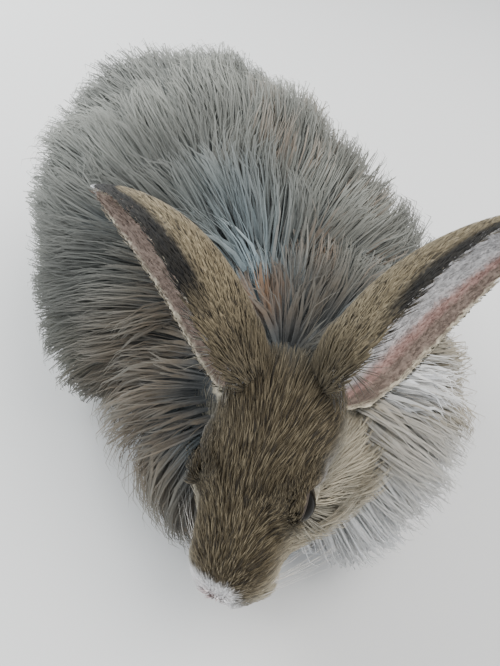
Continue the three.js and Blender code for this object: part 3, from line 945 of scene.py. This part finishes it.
def grow_tufts(name, tuft, line, width, thick, colour, slot, uv):
    """Adds tufts as thin closed prisms along their lines.

    A soft share of the body's own direction goes into their normals, as light spreads in fur.
    """
    steps, soft = (WOOL_STEPS, WOOL_SOFT) if slot == "wool" else (FUR_STEPS, FUR_SOFT)
    t = np.array(steps, float)
    count = len(line)
    rings = len(t) - 1
    tangent = unit(np.gradient(line, axis=1))
    side = unit(np.cross(tuft["out"][:, None, :], tangent))
    up = np.cross(tangent, side)
    taper = np.minimum(1, 0.55 + 2.2 * t) * np.maximum(1 - t, 0) ** 0.62
    wide = (width[:, None] * taper[None, :] / 2)[..., None, None]
    tall = (thick[:, None] * taper[None, :])[..., None, None]
    across = side[:, :-1, None, :] * PRISM[None, None, :, :1]
    above = up[:, :-1, None, :] * PRISM[None, None, :, 1:]
    ring = line[:, :-1, None, :] + across * wide[:, :-1] + above * tall[:, :-1]
    points = np.concatenate([ring.reshape(count, rings * 3, 3), line[:, -1:]], axis=1)
    own_way = unit(across + above).reshape(count, rings * 3, 3)
    own_way = np.concatenate([own_way, up[:, -1:]], axis=1)
    normals = unit(own_way * (1 - soft) + tuft["out"][:, None, :] * soft)
    colours = np.concatenate([np.repeat(colour[:, :-1], 3, axis=1), colour[:, -1:]], axis=1)
    shares = np.concatenate([np.repeat(t[:-1], 3), t[-1:]])
    faces = [(2, 1, 0)]
    for a, b, c, d in ring_faces(rings, 3, capped=False):
        faces.extend([(a, b, c), (a, c, d)])
    last = (rings - 1) * 3
    faces.extend((last + j, last + (j + 1) % 3, rings * 3) for j in range(3))
    GROUPS.append(
        {
            "name": name,
            "points": points,
            "outs": tuft["out"],
            "normals": normals,
            "colours": colours,
            "shares": shares,
            "faces": np.array(faces),
            "slot": slot,
            "uv": uv,
        }
    )


def dewlap_share(p):
    """1 beside the throat on the right, where the wool lies forward."""
    return smooth(-104, -132, p[..., 1]) * smooth(-30, -52, p[..., 0]) * smooth(104, 84, p[..., 2])


def flat_lie(out, lie):
    return unit(lie - out * dot(out, lie)[:, None])


def wool_lie(p, out, down):
    """The way wool lies: from its source at the nape, clear of the cheeks, down and in slow swirls."""
    q = in_head(p)
    from_axis = stack(q[..., 0], 0 * q[..., 1], q[..., 2] + 10)
    beside = smooth(64, 36, norm(from_axis)) * smooth(44, 26, q[..., 1])
    dewlap = dewlap_share(p)
    way = unit(p - WHORL) + (unit(from_axis) @ HEAD.T) * (1.1 * beside * (1 - dewlap))[..., None]
    way = way + np.array([-0.15, -1.1, -0.5]) * dewlap[..., None]
    way[..., 2] -= down
    way = flat_lie(out, way)
    return unit(way + np.cross(out, way) * (0.26 * wavy(p, 64, 11))[..., None])


def wrap_uv(p, axis, front, reach, left, wide):
    """A place on an unwrap of a body, round it and along it, in the lower half of the map."""
    angle = np.arctan2(p[:, 0], p[:, 2] - axis) / (2 * np.pi) + 0.5
    along = (p[:, 1] - front) / reach
    return np.stack([left + wide * angle, 0.01 + 0.6 * np.clip(along, 0, 1)], axis=1)


def body_uv(p):
    return wrap_uv(p, 60, -180, 380, 0.01, 0.6)


def head_uv(p):
    return wrap_uv(in_head(p), -12, -62, 115, 0.64, 0.34)


def ear_uv(spec, s, a, inside):
    column = 0.02 + (0.24 if spec["side"] < 0 else 0.0) + (0.48 if inside else 0.0)
    return np.stack([column + 0.2 * (a + 0.5), 0.64 + 0.33 * s], axis=1)


def vary(value, share, count):
    return value * (1 + share * random.uniform(-1, 1, count))


def keep_only(data, keep):
    return {k: v[keep] for k, v in data.items()}


def thin(p, spacing):
    """Keeps points that are at least a spacing apart."""
    kept = []
    where = np.zeros((0, 3))
    for i, v in enumerate(p):
        if len(where) == 0 or np.min(np.sum((where - v) ** 2, axis=1)) > spacing**2:
            kept.append(i)
            where = np.vstack([where, v])
    return np.array(kept)


# EAR POINTS, to keep wool from growing through the ears
ear_cloud = []
for spec in EARS.values():
    s, a = np.meshgrid(np.linspace(0.02, 1, 40), np.linspace(-0.5, 0.5, 26), indexing="ij")
    ear_cloud.append(ear_point(spec, s, a, 0.0).reshape(-1, 3))
ear_tree = tree_of(np.concatenate(ear_cloud))


def ear_gap(p):
    return np.array([ear_tree.find(v)[2] for v in p.reshape(-1, 3)]).reshape(p.shape[:-1])


def wool_roots(count):
    """Roots all over the woolly surfaces, outside the other bodies."""
    surfaces = [(torso_point, 0.60, in_torso)]
    for body, area in ((NECK, 0.22), (thigh(1), 0.08), (thigh(-1), 0.08), (TAIL, 0.04)):
        surfaces.append((egg(body), area, lambda p, grown, body=body: in_egg(p, body, grown)))
    all_p, all_out = [], []
    for place, share, own_test in surfaces:
        p, out = spread(place, int(count * share * 1.6))
        buried = in_skull(p, 0.5) | (p[:, 2] < 7) | (out[:, 2] < -0.85)
        for _, _, test in surfaces:
            if test is not own_test:
                buried = buried | test(p, -0.5)
        all_p.append(p[~buried])
        all_out.append(out[~buried])
    return np.concatenate(all_p), np.concatenate(all_out)


def clashing(line):
    """Which tufts' middle lines pass through the head, over its top, or through an ear."""
    shown = np.concatenate([line[:, 1:], (line[:, 1:] + line[:, :-1]) / 2], axis=1)
    q = in_head(shown)
    over_top = in_skull(shown, 13) & (q[..., 2] > 2) & (q[..., 1] < 30)
    bad = np.any(in_skull(shown, -1.5) | over_top, axis=1)
    close = np.min(ear_gap(line[:, 1::2]), axis=1) < 26
    quarters = [(line[:, 1:] * 3 + line[:, :-1]) / 4, (line[:, 1:] + line[:, :-1] * 3) / 4]
    finer = np.concatenate([shown, *quarters], axis=1)
    bad[close] |= np.any(ear_gap(finer[close]) < EAR_SAFE, axis=1)
    return bad


def wool_tuft(p, out):
    """Tufts of wool at their roots: how long they are, how they rise, lie, bend and wave."""
    count = len(p)
    q = in_head(p)
    ruffed = smooth(-70, -100, p[:, 1])
    low = smooth(60, 20, p[:, 2])
    near_nape = near(p, WHORL, 42)
    near_tail = in_egg(p, TAIL, 3)
    on_thigh = in_egg(p, thigh(1), 3) | in_egg(p, thigh(-1), 3)
    left_ruff = smooth(-90, -116, p[:, 1]) * smooth(10, 34, p[:, 0])
    dewlap = dewlap_share(p)
    chest = np.maximum(smooth(-140, -160, p[:, 1]) * smooth(10, -20, p[:, 0]), dewlap)
    high = smooth(20, 44, p[:, 0]) * smooth(104, 122, p[:, 2])
    high = high * smooth(-96, -76, p[:, 1]) * smooth(60, 20, p[:, 1])
    by_head = smooth(62, 40, np.hypot(q[:, 0], q[:, 2] + 10)) * smooth(44, 26, q[:, 1])
    length = vary(62, 0.16, count) * (1 - 0.12 * ruffed) * (1 - 0.25 * low) * (1 - 0.28 * left_ruff)
    length = length * np.where(near_tail, 0.55, 1) * np.where(on_thigh, 0.85, 1)
    length = length * (1 + 0.4 * chest + 0.15 * dewlap) * (1 - 0.4 * by_head * (1 - chest))
    rise = vary(42, 0.14, count) * (1 - 0.1 * ruffed) * (1 - 0.2 * low)
    rise = rise * np.where(near_tail, 0.42, 1) * np.where(on_thigh, 0.62, 1)
    rise = rise * (1 - 0.22 * high) * (1 - 0.12 * left_ruff)
    ragged = 1 - 0.4 * random.random(count) * near(p, WHORL, 70)
    length = length * (1 - 0.45 * near_nape) * ragged
    rise = rise * (1 - 0.62 * near_nape) * (1 + 0.1 * wavy(p, 46, 12))
    return {
        "root": p - out * 1.5,
        "out": out,
        "lie": wool_lie(p, out, 0.25 + 0.15 * ruffed),
        "length": length,
        "rise": rise,
        "bend": 105 - 30 * ruffed - 30 * near_tail,
        "sweep": random.normal(0, 5.5, count),
        "droop": 6 * (1 - 0.6 * np.abs(out[:, 2])),
        "wave": random.uniform(0.4, 2.2, count),
        "phase": random.uniform(0, 6.28, count),
    }


# Guides: the middle of each lock of wool
guide_p, guide_out = wool_roots(GUIDE_ROOTS)
order = thin(guide_p, GUIDE_SPACING)
guide_p, guide_out = guide_p[order], guide_out[order]
guides = wool_tuft(guide_p, guide_out)
guides["length"] = guides["length"] * random.uniform(0.8, 1.08, len(guide_p))
guides["wave"] = random.uniform(1.5, 5.0, len(guide_p))
guide_tone = random.normal(0, 1, len(guide_p))

p, out = wool_roots(WOOL_TUFTS)
tuft = wool_tuft(p, out)
kind = random.random(len(p))
under = kind < 0.3
wisp = kind > 0.7
tuft["owner"] = nearest(p, guide_p)
tuft["under"] = under
tuft["wisp"] = wisp
tuft["length"] = tuft["length"] * np.where(under, 0.86, np.where(wisp, 1.06, 1.0))
tuft["rise"] = tuft["rise"] * np.where(under, 0.76, np.where(wisp, 1.04, 1.0))
clump = np.clip(0.5 + 0.18 * random.normal(size=len(p)), 0.1, 0.9)
tuft["clump"] = clump * np.where(wisp, 0.35, 1)
own = keep_only(guides, tuft["owner"])
for shorter in (0.72, 0.6):
    bad = clashing(wool_line(tuft, own))
    for key in ("length", "rise", "clump"):
        tuft[key] = np.where(bad, tuft[key] * shorter, tuft[key])
tuft = keep_only(tuft, ~clashing(wool_line(tuft, own)))
count = len(tuft["root"])
own = keep_only(guides, tuft["owner"])
tone = 0.3 * guide_tone[tuft["owner"]] + 0.34 * random.normal(size=count)
width = vary(0.95, 0.4, count) * np.where(tuft["wisp"], 0.55, 1) * np.where(tuft["under"], 2.5, 1)
thick = vary(0.55, 0.2, count) * np.where(tuft["wisp"], 0.5, 1)
line = wool_line(tuft, own)
colour = wool_colour(line[:, 3], np.clip(tone, -1.4, 1.4))
grow_tufts("wool", tuft, line, width, thick, colour, "wool", body_uv(tuft["root"]))


# Short fur of the head
def short_tuft(p, out, lie, length, rise, bend, sweep=0.5):
    count = len(p)
    return {
        "root": p - out * (FUR_DEPTH + 0.4),
        "out": out,
        "lie": flat_lie(out, lie),
        "length": length,
        "rise": rise,
        "bend": np.full(count, float(bend)),
        "sweep": random.normal(0, sweep, count),
        "droop": np.zeros(count),
        "wave": np.zeros(count),
        "phase": np.zeros(count),
    }


p, out = spread(head_point, HEAD_TUFTS)
lid_p, lid_out = spread(head_point, LID_SEEDS)
_, from_eye, fore, up = face_side(in_head(lid_p))
on_lid = (lid_share(fore, up) < 1.75) & (up > 0) & (from_eye[:, 0] > -8)
p = np.concatenate([p, lid_p[on_lid]])
out = np.concatenate([out, lid_out[on_lid]])
q = in_head(p)
half, from_eye, fore, up = face_side(q)
almond = lid_share(fore, up)
in_eye = (almond < 1.08) & (norm(from_eye) < EYE_RADIUS + 6)
raised, eye_out, lifted = raise_lids(q)
near_eye = norm(from_eye) < EYE_RADIUS + 9
p = np.where(near_eye[:, None], on_head(raised), p)
turned = unit(out * (1 - lifted)[:, None] + eye_out @ HEAD.T * lifted[:, None])
out = np.where(near_eye[:, None], turned, out)
in_line = (line_distance(half, MOUTH) < 0.9) | (line_distance(half, NOSTRIL) < 1.6)
buried = in_egg(p, NECK, -9) | (ear_gap(p) < 2.0)
keep = ~in_eye & ~in_line & ~buried
p, out, q, almond, lifted = (v[keep] for v in (p, out, q, almond, lifted))
count = len(p)
back_way = unit(stack(q[:, 0] / 100, 1.0, -0.15))
_, from_eye, fore, up = face_side(q)
from_eye = from_eye * [0, 1, 1]
over_lid = smooth(2.2, 1.2, almond) * smooth(-1, 3, up)
front_corner = smooth(-3, 3, up) * smooth(-1, -7, fore)
parted = 1.5 * smooth(19, 9, norm(from_eye)) * (1 - 0.55 * front_corner)
around = unit(from_eye) * parted[:, None]
by_ear = np.zeros(count)
for spec in EARS.values():
    close = near(q, spec["root"], 17)
    back_way = back_way + 1.6 * close[:, None] * ear_axes(spec)[0]
    by_ear = np.maximum(by_ear, close)
lie = unit(back_way + around) @ HEAD.T
cheek = smooth(13, 24, np.abs(q[:, 0])) * smooth(2, -12, q[:, 2]) * smooth(-42, -18, q[:, 1])
nape = smooth(20, 44, q[:, 1])
by_eye = 0.68 + 0.32 * smooth(1.1, 2.3, almond)
by_nose = 0.5 + 0.5 * smooth(-57, -36, q[:, 1])
uneven = 1 + (0.28 + 0.2 * cheek) * random.uniform(-1, 1, count)
fuller = 1 + 2.5 * cheek + 0.9 * nape + 0.8 * by_ear
length = 7.2 * uneven * fuller * by_nose * by_eye
rise = 1.7 + 0.13 * length + 11.0 * cheek * random.uniform(0.6, 1.2, count)
rise = rise + 1.5 * nape + 1.6 * by_ear + 1.5 * over_lid
tone = np.clip(random.normal(0, 0.75, count), -1, 1)
lie = lie + np.cross(out, lie) * ((0.12 + 0.5 * cheek) * wavy(p, 17, 31))[:, None]
head_tufts = short_tuft(p, out, lie, length, rise, 70)
head_tufts["root"] = head_tufts["root"] + out * (FUR_DEPTH * lifted + 0.8 * over_lid)[:, None]
head_tufts["bend"] = 70 + 130 * cheek
head_tufts["droop"] = 3 * cheek
colour = face_colour(p, tone)
line = clipped(curve(head_tufts, FUR_STEPS))
width = vary(0.7, 0.3, count)
grow_tufts("face_fur", head_tufts, line, width, width * 0.5, colour, "face", head_uv(p))

# Fur of the ears: the backs all over, the insides finer, with long hair at the base and the medial rim
for word, spec in EARS.items():
    along_way, _, across_way, inward = ear_axes(spec)
    grow_way = along_way @ HEAD.T
    across_world = across_way @ HEAD.T
    for layer, number in ((-0.5, EAR_BACK_TUFTS), (0.5, EAR_INNER_TUFTS)):
        p, out, s, a = spread_ear(spec, number, layer)
        inside = layer > 0
        medial = inward * a + 0.5
        hidden = in_skull(p, -3 if layer < 0 else 0.5) | in_egg(p, NECK, -4)
        p, out, s, a, medial = (v[~hidden] for v in (p, out, s, a, medial))
        count = len(p)
        if inside:
            tilt = smooth(0.5, 0.9, medial)[:, None] * -inward * across_world
            lie = unit(grow_way + 1.2 * tilt)
            fuller = 1 + 1.6 * smooth(0.6, 0.9, medial) + 1.6 * smooth(0.2, 0.03, s)
            length = vary(3.2, 0.3, count) * fuller
            rise = 0.5 + 0.2 * length
        else:
            lie = unit(grow_way + 0.25 * (0.5 - medial)[:, None] * inward * across_world)
            length = vary(5.0, 0.25, count) * (1 - 0.35 * s) * (1 + 1.1 * smooth(0.15, 0.02, s))
            length = length * (0.4 + 0.6 * smooth(0.0, 0.13, medial))
            rise = 1.1 + 0.08 * length
        tone = np.clip(random.normal(0, 0.7, count), -1, 1)
        fur = short_tuft(p, out, lie, length, rise, 60, 0.4)
        fur["root"] = p - out * 0.5
        width = vary(0.45 if inside else 0.75, 0.3, count)
        name = "ear_" + word + ("_inner_fur" if inside else "_fur")
        colour = ear_colour(spec, s, medial, inside, tone)
        line = clipped(curve(fur, FUR_STEPS))
        grow_tufts(name, fur, line, width, width * 0.45, colour, "ear", ear_uv(spec, s, a, inside))

# Fur of the paws
for word, side in (("left", 1), ("right", -1)):
    for part, place in (("fore", foreleg(side)), ("hind", hind_foot(side))):
        p, out = spread(place, PAW_TUFTS)
        hidden = in_torso(p, -1) | in_egg(p, NECK, -1) | in_egg(p, thigh(side), -1) | (p[:, 2] < 2.2)
        p, out = p[~hidden], out[~hidden]
        count = len(p)
        lie = np.array([0.0, -1.0, -0.3])
        tone = np.clip(random.normal(0, 0.6, count), -1, 1)
        fur = short_tuft(p, out, lie, vary(7, 0.3, count), vary(2.0, 0.2, count), 40, 0.8)
        width = vary(1.0, 0.3, count)
        colour = paw_colour(tone)
        name = part + "_" + word + "_fur"
        line = curve(fur, FUR_STEPS)
        line[..., 2] = over_floor(line[..., 2])
        grow_tufts(name, fur, line, width, width * 0.5, colour, "paw", body_uv(p))


# MATERIALS
def fill(node, **values):
    for key, value in values.items():
        node.inputs[key.replace("_", " ")].default_value = value


def plain_material(name, roughness, **more):
    mat = bpy.data.materials.new(name)
    mat.use_nodes = True
    fill(mat.node_tree.nodes["Principled BSDF"], Roughness=roughness, **more)
    return mat


def material(name, roughness, grain, depth, sheen=0.0, bump_size=0.0, glow=0.0):
    """A look that takes its colour from the points, with a fine grain over it."""
    mat = plain_material(name, roughness, Sheen_Weight=sheen, Sheen_Roughness=0.5)
    nodes = mat.node_tree.nodes
    join = mat.node_tree.links.new
    shader = nodes["Principled BSDF"]
    if glow:
        through = nodes.new("ShaderNodeBsdfTranslucent")
        both = nodes.new("ShaderNodeMixShader")
        fill(both, Fac=glow)
        join(shader.outputs["BSDF"], both.inputs[1])
        join(through.outputs["BSDF"], both.inputs[2])
        join(both.outputs["Shader"], nodes["Material Output"].inputs["Surface"])
    attribute = nodes.new("ShaderNodeAttribute")
    attribute.attribute_name = "coat"
    place = nodes.new("ShaderNodeTexCoord")
    noise = nodes.new("ShaderNodeTexNoise")
    fill(noise, Scale=grain, Detail=3.0)
    join(place.outputs["Object"], noise.inputs["Vector"])
    level = nodes.new("ShaderNodeMapRange")
    fill(level, From_Min=0.3, From_Max=0.7, To_Min=1 - depth, To_Max=1 + depth)
    join(noise.outputs["Fac"], level.inputs["Value"])
    scale = nodes.new("ShaderNodeVectorMath")
    scale.operation = "SCALE"
    join(attribute.outputs["Color"], scale.inputs[0])
    join(level.outputs["Result"], scale.inputs["Scale"])
    join(scale.outputs["Vector"], shader.inputs["Base Color"])
    if glow:
        join(scale.outputs["Vector"], through.inputs["Color"])
    if bump_size:
        bumps = nodes.new("ShaderNodeBump")
        fill(bumps, Strength=0.5, Distance=bump_size)
        join(noise.outputs["Fac"], bumps.inputs["Height"])
        join(bumps.outputs["Normal"], shader.inputs["Normal"])
    return mat


coat_look = material("coat", 0.85, 700.0, 0.1, sheen=0.15, glow=0.4)
skin_look = material("skin", 0.85, 900.0, 0.2, bump_size=0.0006)


def paint(mesh, colours):
    layer = mesh.color_attributes.new("coat", "FLOAT_COLOR", "POINT")
    rgba = np.concatenate([np.clip(colours, 0, 1), np.ones((len(colours), 1))], axis=1)
    put(layer.data, "color", rgba)


def add_piece(mesh, look):
    mesh.materials.append(look)
    piece = new_object(mesh.name, mesh)
    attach(piece, "root")
    return piece


def coat_mesh(name, points, faces, colours, uv, normals):
    """A mesh from arrays of triangles, with its colours, bake map and normals."""
    mesh = bpy.data.meshes.new(name)
    mesh.vertices.add(len(points))
    put(mesh.vertices, "co", to_scene(points))
    mesh.loops.add(len(faces) * 3)
    put(mesh.loops, "vertex_index", faces, np.int32)
    mesh.polygons.add(len(faces))
    put(mesh.polygons, "loop_start", np.arange(0, len(faces) * 3, 3), np.int32)
    put(mesh.polygons, "use_smooth", np.ones(len(faces)), bool)
    paint(mesh, colours)
    layer = mesh.uv_layers.new(name="OFBake")
    put(layer.data, "uv", uv[faces.ravel()])
    mesh.update(calc_edges=True)
    mesh.normals_split_custom_set_from_vertices(normals.astype(np.float32))
    return mesh


for group in GROUPS:
    count = len(group["points"])
    per = len(group["faces"])
    pieces = max(1, math.ceil(count * per / PIECE_LIMIT))
    order = random.permutation(count)
    for piece in range(pieces):
        chosen = order[piece::pieces]
        points = group["points"][chosen]
        size = points.shape[1]
        starts = (np.arange(len(chosen)) * size)[:, None, None]
        faces = (group["faces"][None] + starts).reshape(-1, 3)
        spot = group["uv"][chosen][:, None, :]
        corner = np.concatenate([np.tile([0.0, 0.5, 1.0], (size - 1) // 3), [0.5]])
        inner = np.stack([corner, group["shares"]], axis=1)[None] * 0.003
        uv = (spot + inner).reshape(-1, 2)
        colours = group["colours"][chosen].reshape(-1, 3)
        normals = group["normals"][chosen].reshape(-1, 3)
        name = "coat_" + group["name"] + ("_" + str(piece + 1) if pieces > 1 else "")
        mesh = coat_mesh(name, points.reshape(-1, 3), faces, colours, uv, normals)
        add_piece(mesh, coat_look)

# The skin takes the coat's own colours at the nearest roots of its own side
roots = np.concatenate([g["points"][:, :3].mean(axis=1) + g["outs"] * SIDE_REACH for g in GROUPS])
root_colours = np.concatenate([g["colours"][:, 0] * 0.75 + g["colours"][:, -1] * 0.25 for g in GROUPS])
found = nearest(points_of(skin_mesh) + take(skin_mesh, "normal") * SIDE_REACH, roots)
paint(skin_mesh, root_colours[found])
skin_mesh.materials.clear()
skin_mesh.materials.append(skin_look)
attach(skin, "root")
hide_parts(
    *["head", "neck", "torso", "tail", "ear_left", "ear_right"],
    *["foreleg_left", "foreleg_right", "hindleg_left", "hindleg_right"],
)

# EYES, LIDS, CLAWS AND WHISKERS
def tube(line, wide, tall, out, sides, closed=False):
    """Points and faces of an oval tube along a line. out is the way its height points."""
    line = np.array(line, float)
    if closed:
        way = unit(np.roll(line, -1, axis=0) - np.roll(line, 1, axis=0))
    else:
        way = unit(np.gradient(line, axis=0))
    side = unit(np.cross(out, way))
    up = np.cross(way, side)
    turn = np.arange(sides) / sides * 2 * np.pi
    across = np.reshape(wide, (-1, 1, 1)) * np.cos(turn)[None, :, None]
    high = np.reshape(tall, (-1, 1, 1)) * np.sin(turn)[None, :, None]
    points = line[:, None] + side[:, None] * across + up[:, None] * high
    return points.reshape(-1, 3), ring_faces(len(line), sides, closed)


def lid(side):
    """The rim of one eye's lids, a soft ring on the eyeball."""
    turn = np.arange(64) / 64 * 2 * np.pi
    fore = LID_FORE * np.cos(turn)
    up = np.where(np.sin(turn) > 0, LID_TOP, LID_LOW) * np.sin(turn)
    y = fore * math.cos(LID_TILT) - up * math.sin(LID_TILT)
    z = fore * math.sin(LID_TILT) + up * math.cos(LID_TILT)
    reach = EYE_RADIUS + LID_GAP
    x = np.sqrt(np.maximum(reach**2 - y * y - z * z, 1))
    from_eye = stack(x, y, z)
    ring = (EYE_AT + from_eye) * [side, 1, 1]
    out = unit(from_eye) * [side, 1, 1]
    return tube(on_head(ring), LID_WIDE, LID_TALL, out @ HEAD.T, 12, closed=True)


eye_look = plain_material("eye", 0.12, Base_Color=(0.006, 0.005, 0.004, 1), IOR=1.22, Specular_IOR_Level=0.3)
lid_look = plain_material("lid", 0.6, Base_Color=(0.05, 0.038, 0.03, 1), Specular_IOR_Level=0.15)
claw_look = plain_material("claw", 0.35, Base_Color=(0.30, 0.24, 0.19, 1))
whisker_look = plain_material("whisker", 0.4, Base_Color=(0.62, 0.58, 0.52, 1))
for word, side in (("left", 1), ("right", -1)):
    ball = closed_grid(egg((eye_centre(side), [EYE_RADIUS] * 3)), 40, 48, 0)
    eye = add_piece(smooth_mesh("eyeball_" + word, [ball]), eye_look)
    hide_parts("eye_" + word)
    add_piece(smooth_mesh("lids_" + word, [lid(side)]), lid_look)

claws = []
for x, y in toe_places():
    t = np.linspace(0, 1, 7)
    line = stack(0 * t + x, y - 5.5 - CLAW_LENGTH * t, 6.8 - 3.4 * t**1.6)
    radius = CLAW_RADIUS * (1 - t) ** 0.7 + 0.12
    claws.append(tube(line, radius * 0.75, radius, np.array([0.0, 0.0, 1.0]), 8))
add_piece(smooth_mesh("claws", claws), claw_look)

whiskers = []
for side in (1, -1):
    for index in range(WHISKERS):
        row = index % 4
        root = np.array([13.0 - 0.6 * row, -50.0 + 2.6 * (index // 4) + 0.9 * row, -16.0 - 2.1 * row])
        reach = WHISKER_REACH * (1 + 0.5 * random.random())
        way = unit(np.array([1.0, 0.5 + 0.6 * random.random(), 0.25 - 0.22 * row + 0.1 * random.normal()]))
        t = np.linspace(0, 1, 9)[:, None]
        line = root + way * reach * t + np.array([0.0, 0.3, -0.2]) * reach * t**2
        radius = WHISKER_RADIUS * (1 - 0.8 * t[:, 0])
        line = clipped(on_head(line * [side, 1, 1]))
        whiskers.append(tube(line, radius, radius, np.array([0.0, 0.1, 1.0]), 4))
add_piece(smooth_mesh("whiskers", whiskers), whisker_look)

# FLOOR, LIGHT AND CAMERA
floor_mesh = bpy.data.meshes.new("floor")
corners = [(x * FLOOR_HALF * MM, y * FLOOR_HALF * MM, 0) for x, y in ((-1, -1), (1, -1), (1, 1), (-1, 1))]
floor_mesh.from_pydata(corners, [], [(0, 1, 2, 3)])
floor_mesh.materials.append(plain_material("floor", 0.9, Base_Color=(0.62, 0.61, 0.59, 1)))
floor = new_object("floor", floor_mesh)

world = bpy.data.worlds.new("studio")
world.use_nodes = True
fill(world.node_tree.nodes["Background"], Color=(0.86, 0.92, 1.0, 1), Strength=1.15)
bpy.context.scene.world = world


def area_light(name, at, target, size, power, colour):
    data = bpy.data.lights.new(name, "AREA")
    data.size = size
    data.energy = power
    data.color = colour
    lamp = new_object(name, data)
    lamp.location = at
    lamp.rotation_euler = (Vector(target) - Vector(at)).to_track_quat("-Z", "Y").to_euler()


area_light("key", (0.7, -0.3, 1.6), (0, 0, 0.05), 1.2, 35, (1.0, 0.975, 0.94))
area_light("back", (-0.8, 1.1, 1.0), (0, 0, 0.08), 1.0, 46, (0.94, 0.98, 1.0))

CAMERA_AT = np.array([-89.2, -260.3, 295.0])
CAMERA_RIGHT = unit(np.array([0.949, -0.299, 0.101]))
CAMERA_FORWARD = np.array([0.271, 0.609, -0.746])
forward = unit(CAMERA_FORWARD - CAMERA_RIGHT * dot(CAMERA_FORWARD, CAMERA_RIGHT))
upward = np.cross(CAMERA_RIGHT, forward)
camera = new_object("camera", bpy.data.cameras.new("camera"))
camera.data.lens = 36
camera.data.sensor_width = 36
camera.data.sensor_fit = "HORIZONTAL"
camera.data.clip_start = 0.01
turned = Matrix(np.stack([CAMERA_RIGHT, upward, -forward], axis=1).tolist()).to_4x4()
camera.matrix_world = Matrix.Translation(Vector(to_scene(CAMERA_AT))) @ turned
bpy.context.scene.camera = camera
